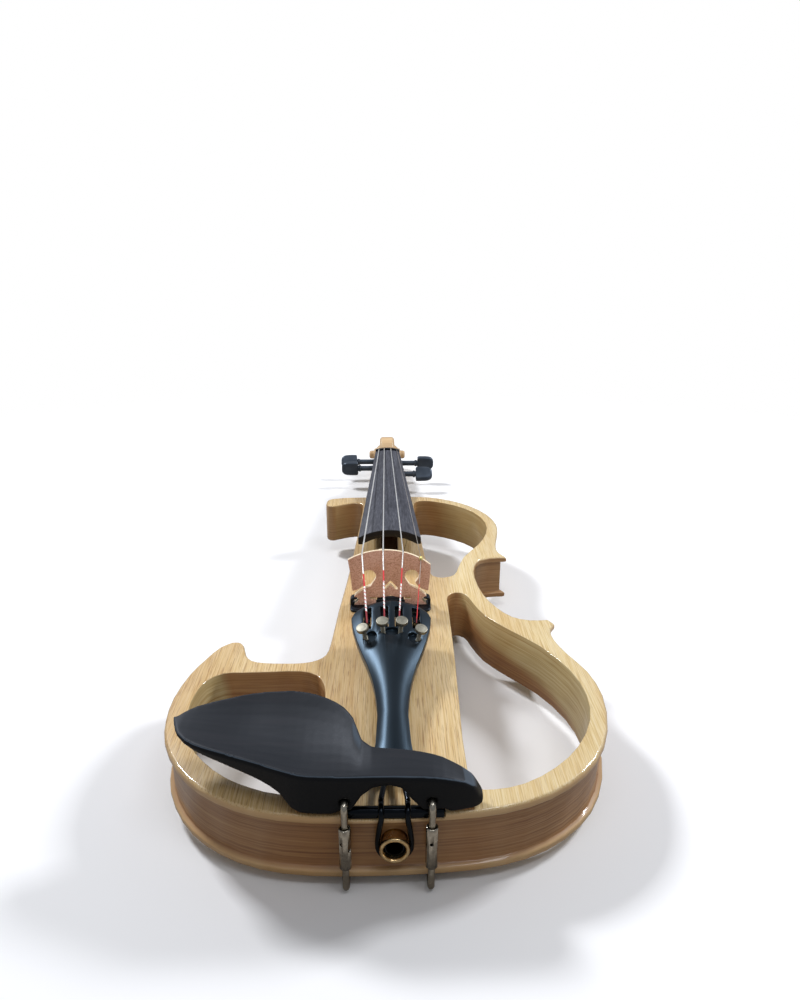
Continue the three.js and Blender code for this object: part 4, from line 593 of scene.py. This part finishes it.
# The silk's dark end, its spiral and its plain red part stop that many millimetres from the
# hook. Share is the first thread's part of each turn of the spiral
silks = {
    "g": {"metal": ("#dddcd8", "#f4f3ef"), "dark": 9, "spiral": 29, "plain": 39.5, "pitch": 3, "share": 0.76,
          "threads": ("#f6f2ec", "#cf2a30"), "plainRed": "#d3262c", "end": "#8d1a22"},
    "d": {"metal": ("#dddcd8", "#f4f3ef"), "dark": 9, "spiral": 31, "plain": 40, "pitch": 3, "share": 0.8,
          "threads": ("#f8f5f0", "#cf2a30"), "plainRed": "#d3262c", "end": "#8d1a22"},
    "a": {"metal": ("#dddcd8", "#f4f3ef"), "dark": 8, "spiral": 29.5, "plain": 43, "pitch": 3, "share": 0.76,
          "threads": ("#f6f2ec", "#cf2a30"), "plainRed": "#d3262c", "end": "#8d1a22"},
    "e": {"metal": ("#9c948c", "#bdb6ae"), "dark": 4, "spiral": 4.1, "plain": 33, "pitch": 2, "share": 0.5,
          "threads": ("#cf2a30", "#c8232a"), "plainRed": "#d3262c", "end": "#8b1a20"},
}


# Metal winding on the speaking length, near white on the g, d and a strings, partly its own tone and partly
# painted highlight; silk wound on at the tail end
def stringFinish(name, silk):
    f = Finish(f"string{name.upper()}", Specular_IOR_Level=0.5)
    around, along, _ = f.axes(f.add("ShaderNodeUVMap", uv_map="winding").outputs[0])

    def spiralOf(pitch):
        return f.sum("FRACT", f.sum("ADD", f.sum("MULTIPLY", along, 1 / (pitch * mm)), around))

    winding, spiral = spiralOf(strings["winding"]), spiralOf(silk["pitch"])
    # the winding's tone, partly painted highlight where it is near white
    metal = f.ramp(f.noise(f.cells(4, 30, 4), detail=2), *zip((0.35, 0.7), silk["metal"]))
    thread = f.ramp(spiral, *zip((silk["share"] - 0.06, silk["share"] + 0.06), silk["threads"]))
    ends = [silk[key] * mm for key in ("dark", "spiral", "plain")]
    inDark, inSpiral, inSilk = [f.sum("LESS_THAN", along, end) for end in ends]
    wrap = f.blend(inDark, f.blend(inSpiral, silk["plainRed"], thread), silk["end"])
    f.color(f.blend(inSilk, metal, wrap))
    f.feed(f.sum("MULTIPLY_ADD", inSilk, -0.4, 0.4), "Metallic")  # 0.4 on metal, 0 on silk
    f.feed(f.sum("MULTIPLY_ADD", inSilk, 0.35, 0.3), "Roughness")  # 0.3 on metal, 0.65 on silk
    f.relief(f.blend(inSilk, winding, spiral), depth=0.03, strength=0.5)
    return f.material


def roundCorner(before, corner, after, reach, steps=6, most=0.4):
    start = corner.lerp(before, min(most, reach / (corner - before).length))
    end = corner.lerp(after, min(most, reach / (corner - after).length))
    shares = [k / steps for k in range(steps + 1)]
    return [start.lerp(corner, share).lerp(corner.lerp(end, share), share) for share in shares]


def violinString(name):
    s, one, silk = strings, strings[name], silks[name]
    hook, crest, nut = Vector(one["hook"]), Vector(one["bridge"]), Vector(one["nut"])
    coil = s["shaft"] + 2 * s["play"] + one["radius"]
    pegY, pegZ = one["peg"]
    toNut = Vector((nut.y - pegY, nut.z - pegZ))
    start = math.atan2(toNut.y, toNut.x) - math.acos(coil / toNut.length)
    pitch = 2 * one["radius"] + s["gap"]
    turns = []
    for k in range(s["turns"] * s["loopSteps"] + 1):
        a = start - 2 * math.pi * k / s["loopSteps"]
        x = one["side"] * (s["play"] + pitch * k / s["loopSteps"])
        turns.append(Vector((x, pegY + coil * math.cos(a), pegZ + coil * math.sin(a))))
    path = [hook.lerp(crest, k / s["tailSteps"]) for k in range(s["tailSteps"] - 2)]
    path += roundCorner(hook, crest, nut, s["bend"])
    path += [crest.lerp(nut, k / s["boardSteps"]) for k in range(1, s["boardSteps"])]
    path += roundCorner(crest, nut, turns[0], s["bend"]) + turns
    run, radii = 0.0, []
    for k, p in enumerate(path):
        run += (p - path[k - 1]).length if k else 0
        radii.append(one["radius"] * (s["silkThicker"] if run < silk["plain"] else 1))
    finishes[f"string_{name}"] = stringFinish(name, silk)
    sweep(f"string_{name}", path, radii, s["sides"], f"string_{name}", root)


for n in stringNames:
    violinString(n)
print("strings made")


# Pegs: one turned and shaped piece each, square at the head's root and rounded at its end.
# Turn is in whole turns. The end beyond the far cheek, the shaft from the near cheek and the
# collar before the head are rows of (along, radius), the root of (along, half thickness, half
# width, roundness), and the crown of shares of the head's length and width

pegs = {
    "g": {"turn": 0.04, "cheek": 10.63, "head": 31},
    "d": {"turn": -0.09, "cheek": 9.27, "head": 33},
    "a": {"turn": 0.02, "cheek": 9.87, "head": 32.4},
    "e": {"turn": -0.12, "cheek": 11.32, "head": 29.4},
    "end": ((-0.6, 0.5), (-0.6, 2.9), (-0.2, 3.32), (0, 3.4)),
    "shaft": ((0.4, 3.9), (1.6, 3.8), (4.2, 3.05), (8.2, 2.7)),
    "collar": ((-3.2, 2.75), (-2.6, 3.5), (-1.3, 3.6), (-0.8, 2.9)),
    "root": ((-0.15, 2.75, 3.0, 0.9), (0, 3.0, 6.7, 0.62)), "tip": (0.8, 1.2, 0.7),
    "crown": ((0.012, 0.9), (0.04, 0.96), (0.1, 0.995), (0.25, 1.0), (0.5, 0.99), (0.68, 0.955),
              (0.8, 0.89), (0.88, 0.79), (0.94, 0.66), (0.98, 0.5), (1.0, 0.36)),
    "long": 17, "half": 7.7, "thick": 3.5, "round": 0.55, "sides": 40,
}


def tuningPeg(name):
    p, one, sides = pegs, pegs[name], pegs["sides"]
    (y, z), side = strings[name]["peg"], strings[name]["side"]
    cheek, head, turn = one["cheek"], one["head"], 2 * math.pi * one["turn"]
    rounds = profile(-cheek, 0, p["end"]) + profile(cheek, 0, p["shaft"]) + profile(head, 0, p["collar"])
    rows = [(along, radius, radius, 1) for along, radius in rounds]
    rows += [(head + a, *rest) for a, *rest in p["root"]]
    for a, w in p["crown"]:
        rows.append((head + a * p["long"], math.sqrt(w) * p["thick"], w * p["half"], p["round"]))
    rows.append((head + p["long"], *p["tip"]))
    verts = []
    for along, flat, wide, square in rows:
        for k in range(sides):
            a = 2 * math.pi * (k + 0.5) / sides
            dy = flat * math.copysign(abs(math.cos(a)) ** square, math.cos(a))
            dz = wide * math.copysign(abs(math.sin(a)) ** square, math.sin(a))
            verts.append(Vector((side * along, y + dy * math.cos(turn) - dz * math.sin(turn),
                                 z + dy * math.sin(turn) + dz * math.cos(turn))) * mm)
    meshPiece(f"peg_{name}", verts, tubeFaces(len(rows), sides), "pegs", f"peg_{name}", 38)


for n in stringNames:
    tuningPeg(n)
print("pegs made")


# Tail gut, jack and lead. The gut is thicker at its two ends, where it is knotted

gut = {
    "radius": 1.15, "knotShares": (1.62, 1.6, 1.5, 1.25), "sides": 20, "steps": 8, "turnSteps": 24,
    "route": [(3.4, -132.86, 38.08), (3.4, -151.16, 35.66), (5.2, -165.98, 35.05), (5.2, -167.53, 34.75),
              (5.2, -169.08, 34.75), (5.2, -171.38, 33.6), (5.2, -171.98, 31), (5.93, -171.98, 26.25),
              (6.65, -171.28, 19.5), (6.65, -170.88, 17.2)],
}


def tailGut():
    right = smoothPath(gut["route"], gut["steps"])
    left = [Vector((-p.x, p.y, p.z)) for p in right]
    x, y, z = gut["route"][-1]
    angles = [math.pi * k / gut["turnSteps"] for k in range(1, gut["turnSteps"])]
    path = right + [Vector((x * math.cos(a), y, z - x * math.sin(a))) for a in angles] + left[::-1]
    radii = [gut["radius"]] * len(path)
    for k, share in enumerate(gut["knotShares"]):
        radii[k] = radii[-1 - k] = gut["radius"] * share
    sweep("tail_gut", path, radii, gut["sides"], "gut", root)


# flare, lip and the two rims are steps away from the bore, the mouth and the ring
jack = {
    "face": (0, -174.43, 17.2), "bore": 4.25, "mouth": 4.75, "ring": 6.05, "ringThick": 2.1,
    "collar": 4.9, "back": 34.2, "sides": 64,
    "flare": ((2.1, 0), (1.1, 0.05)), "lip": ((0.5, -0.2), (0.12, 0), (0, 0.2)),
    "frontRim": ((0, -0.7), (0.1, -0.35), (0.35, -0.1), (0.7, 0)),
    "backRim": ((-0.4, 0), (-0.1, -0.1), (0, -0.4)),
}


def jackBarrel():
    j = jack
    rows = profile(0, j["bore"], j["flare"]) + profile(0, j["mouth"], j["lip"])
    rows += profile(0, j["ring"], j["frontRim"]) + profile(j["ringThick"], j["ring"], j["backRim"])
    rows += [(j["ringThick"], j["collar"]), (j["back"], j["collar"]), (j["back"], j["bore"])]
    turned("endpin_jack", rows, j["face"], (0, 1, 0), "brass", root, j["sides"], 45, hollow=True)


lead = {"radius": 1, "from": -144.53, "bend": 3.4, "deep": 17.2, "top": 31, "sides": 14, "steps": 8}


def pickupLead():
    bend, deep = lead["bend"], lead["deep"]
    arc = [(0, -bend * (1 - math.sin(a)), deep + bend * (1 - math.cos(a)))
           for a in quarterTurn(lead["steps"])]
    path = [(0, lead["from"], deep), *arc, (0, 0, lead["top"])]
    sweep("pickup_lead", path, lead["radius"], lead["sides"], "lead", root)


tailGut()
jackBarrel()
pickupLead()
print("gut, jack and lead made")


# Chinrest and its clamp

chinrest = {"grain": 0.42, "rubs": 14, "corkEdge": 0.2}
clamp = {
    "across": {"l": -19.3, "r": 14.5}, "along": -173.53, "inward": -162.23, "high": 38.3, "low": 22.8,
    "rod": 1.45, "bend": 2.2, "sides": 20, "steps": 10, "barrelEdge": 0.05, "footEdge": 0.3, "corkEdge": 0.2,
}


def clampPost(name, x):
    c = clamp
    bend = c["bend"]
    arc = [(x, c["along"] + bend * (1 - math.sin(a)), c["high"] - bend * (1 - math.cos(a)))
           for a in quarterTurn(c["steps"])]
    path = [(x, c["inward"], c["high"]), *arc, (x, c["along"], c["low"])]
    sweep(f"clamp_rod_{name}", path, c["rod"], c["sides"], "nickel", root)
    eased(f"clamp_barrel_{name}", f"barrel_{name}", "nickel", c["barrelEdge"], steps=1, angle=60)


carved("chinrest", root, "ebony", chinrest["grain"], chinrest["rubs"])
for n, x in clamp["across"].items():
    clampPost(n, x)
eased("clamp_foot", "clamp", "nickel", clamp["footEdge"], angle=50)
for n in clamp["across"]:
    eased(f"chinrest_cork_{n}", root, "cork", chinrest["corkEdge"])
eased("clamp_foot_cork", "clamp", "cork", clamp["corkEdge"])
print("chinrest and clamp made")


# What stays as it comes: the hidden pins, sleeve and contact

hidden = {"jack_sleeve": "black_gloss", "jack_contact": "brass"}
hidden.update({f"tuner_pin_{n}": "pin_steel" for n in stringNames})
for node, finish in hidden.items():
    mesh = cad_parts[node].data
    mesh.materials.clear()
    mesh.materials.append(finishes[finish])
print("hidden pieces finished:", len(hidden))


# Floor, world and lamps. Lengths are in metres here. The floor fades out from near to far, and
# seen and lit are its colours for the camera and for the light

stage = {
    "tail": (-0.17, -0.0047), "head": (0.43, -0.0187), "half": 6.0, "near": 0.4, "far": 0.95,
    "seen": "#f6f5f3", "lit": "#a39d96", "cloud": (0.985, 1.0), "sky": 0.26, "tint": "#f5f8ff",
}


# The floor runs through the scroll's back and the clamp's foot. It fades out around the
# violin, and from below it isn't seen at all
def makeFloor():
    (y0, z0), (y1, z1) = stage["tail"], stage["head"]
    slope = (z1 - z0) / (y1 - y0)
    half = stage["half"]
    corners = ((-half, -half), (half, -half), (half, half), (-half, half))
    mesh = bpy.data.meshes.new("floor")
    mesh.from_pydata([(x, y, z0 + slope * (y - y0)) for x, y in corners], [], [(0, 1, 2, 3)])
    f = Finish("paleFloor", Roughness=0.9, Specular_IOR_Level=0.05)
    path = f.add("ShaderNodeLightPath").outputs["Is Camera Ray"]
    cloud = f.ramp(f.noise(f.cells(400, 400, 400), detail=2), *zip((0.3, 0.7), stage["cloud"]))
    f.color(f.blend(1.0, f.blend(path, stage["lit"], stage["seen"]), cloud, "MULTIPLY"))
    where = f.add("ShaderNodeTexCoord").outputs["Object"]
    reach = f.add("ShaderNodeVectorMath", {0: where}, operation="LENGTH").outputs["Value"]
    below = f.add("ShaderNodeNewGeometry").outputs["Backfacing"]
    gone = f.sum("MAXIMUM", f.span(reach, stage["near"], stage["far"]), below)
    f.feed(f.sum("SUBTRACT", 1.0, f.sum("MULTIPLY", gone, path)), "Alpha")
    mesh.materials.append(f.material)
    floor = bpy.data.objects.new("floor", mesh)
    bpy.context.collection.objects.link(floor)


# White to the camera, dim to everything else
def makeWorld():
    world = bpy.data.worlds.new("studio")
    bpy.context.scene.world = world
    world.use_nodes = True
    nodes, links = world.node_tree.nodes, world.node_tree.links
    nodes.clear()
    out = nodes.new("ShaderNodeOutputWorld")
    which = nodes.new("ShaderNodeMixShader")
    path = nodes.new("ShaderNodeLightPath")
    links.new(path.outputs["Is Camera Ray"], which.inputs[0])
    for place, color, strength in ((1, paint(stage["tint"]), stage["sky"]), (2, (1, 1, 1, 1), 1)):
        sky = nodes.new("ShaderNodeBackground")
        sky.inputs["Color"].default_value = color
        sky.inputs["Strength"].default_value = strength
        links.new(sky.outputs[0], which.inputs[place])
    links.new(which.outputs[0], out.inputs["Surface"])


# The last one is a narrow lamp on the bridge, the strings and the board's end
lamps = {
    "behind left": {"at": (-0.95, 0.8, 1.3), "aim": (0, 0, 0), "size": (0.3, 0.3), "power": 23},
    "behind right": {"at": (1.15, 0.5, 1.05), "aim": (0, 0, 0), "size": (0.3, 0.3), "power": 16},
    "before right": {"at": (0.5, -0.55, 1.35), "aim": (0, -0.05, 0), "size": (0.5, 0.25), "power": 2.2},
    "before": {"at": (0, -0.6, 1.4), "aim": (0, -0.05, 0), "size": (1.4, 0.12), "power": 1.8},
    "bridge lamp": {"at": (-0.12, -0.75, 1.1), "aim": (0, 0.03, 0.05), "power": 14,
                    "cone": 13, "soft": 0.8, "radius": 0.08},
}


def hangLamp(name, lamp):
    narrow = "cone" in lamp
    data = bpy.data.lights.new(name, "SPOT" if narrow else "AREA")
    data.energy = lamp["power"]
    if narrow:
        data.spot_size = math.radians(lamp["cone"])
        data.spot_blend = lamp["soft"]
        data.shadow_soft_size = lamp["radius"]
    else:
        data.shape = "RECTANGLE"
        data.size, data.size_y = lamp["size"]
        data.color = paint(stage["tint"])[:3]
    light = bpy.data.objects.new(name, data)
    bpy.context.collection.objects.link(light)
    light.location = lamp["at"]
    light.rotation_mode = "QUATERNION"
    light.rotation_quaternion = (Vector(lamp["aim"]) - Vector(lamp["at"])).to_track_quat("-Z", "Y")


makeFloor()
makeWorld()
for name, lamp in lamps.items():
    hangLamp(name, lamp)
bpy.context.scene.view_settings.view_transform = "Standard"
print("stage lit")
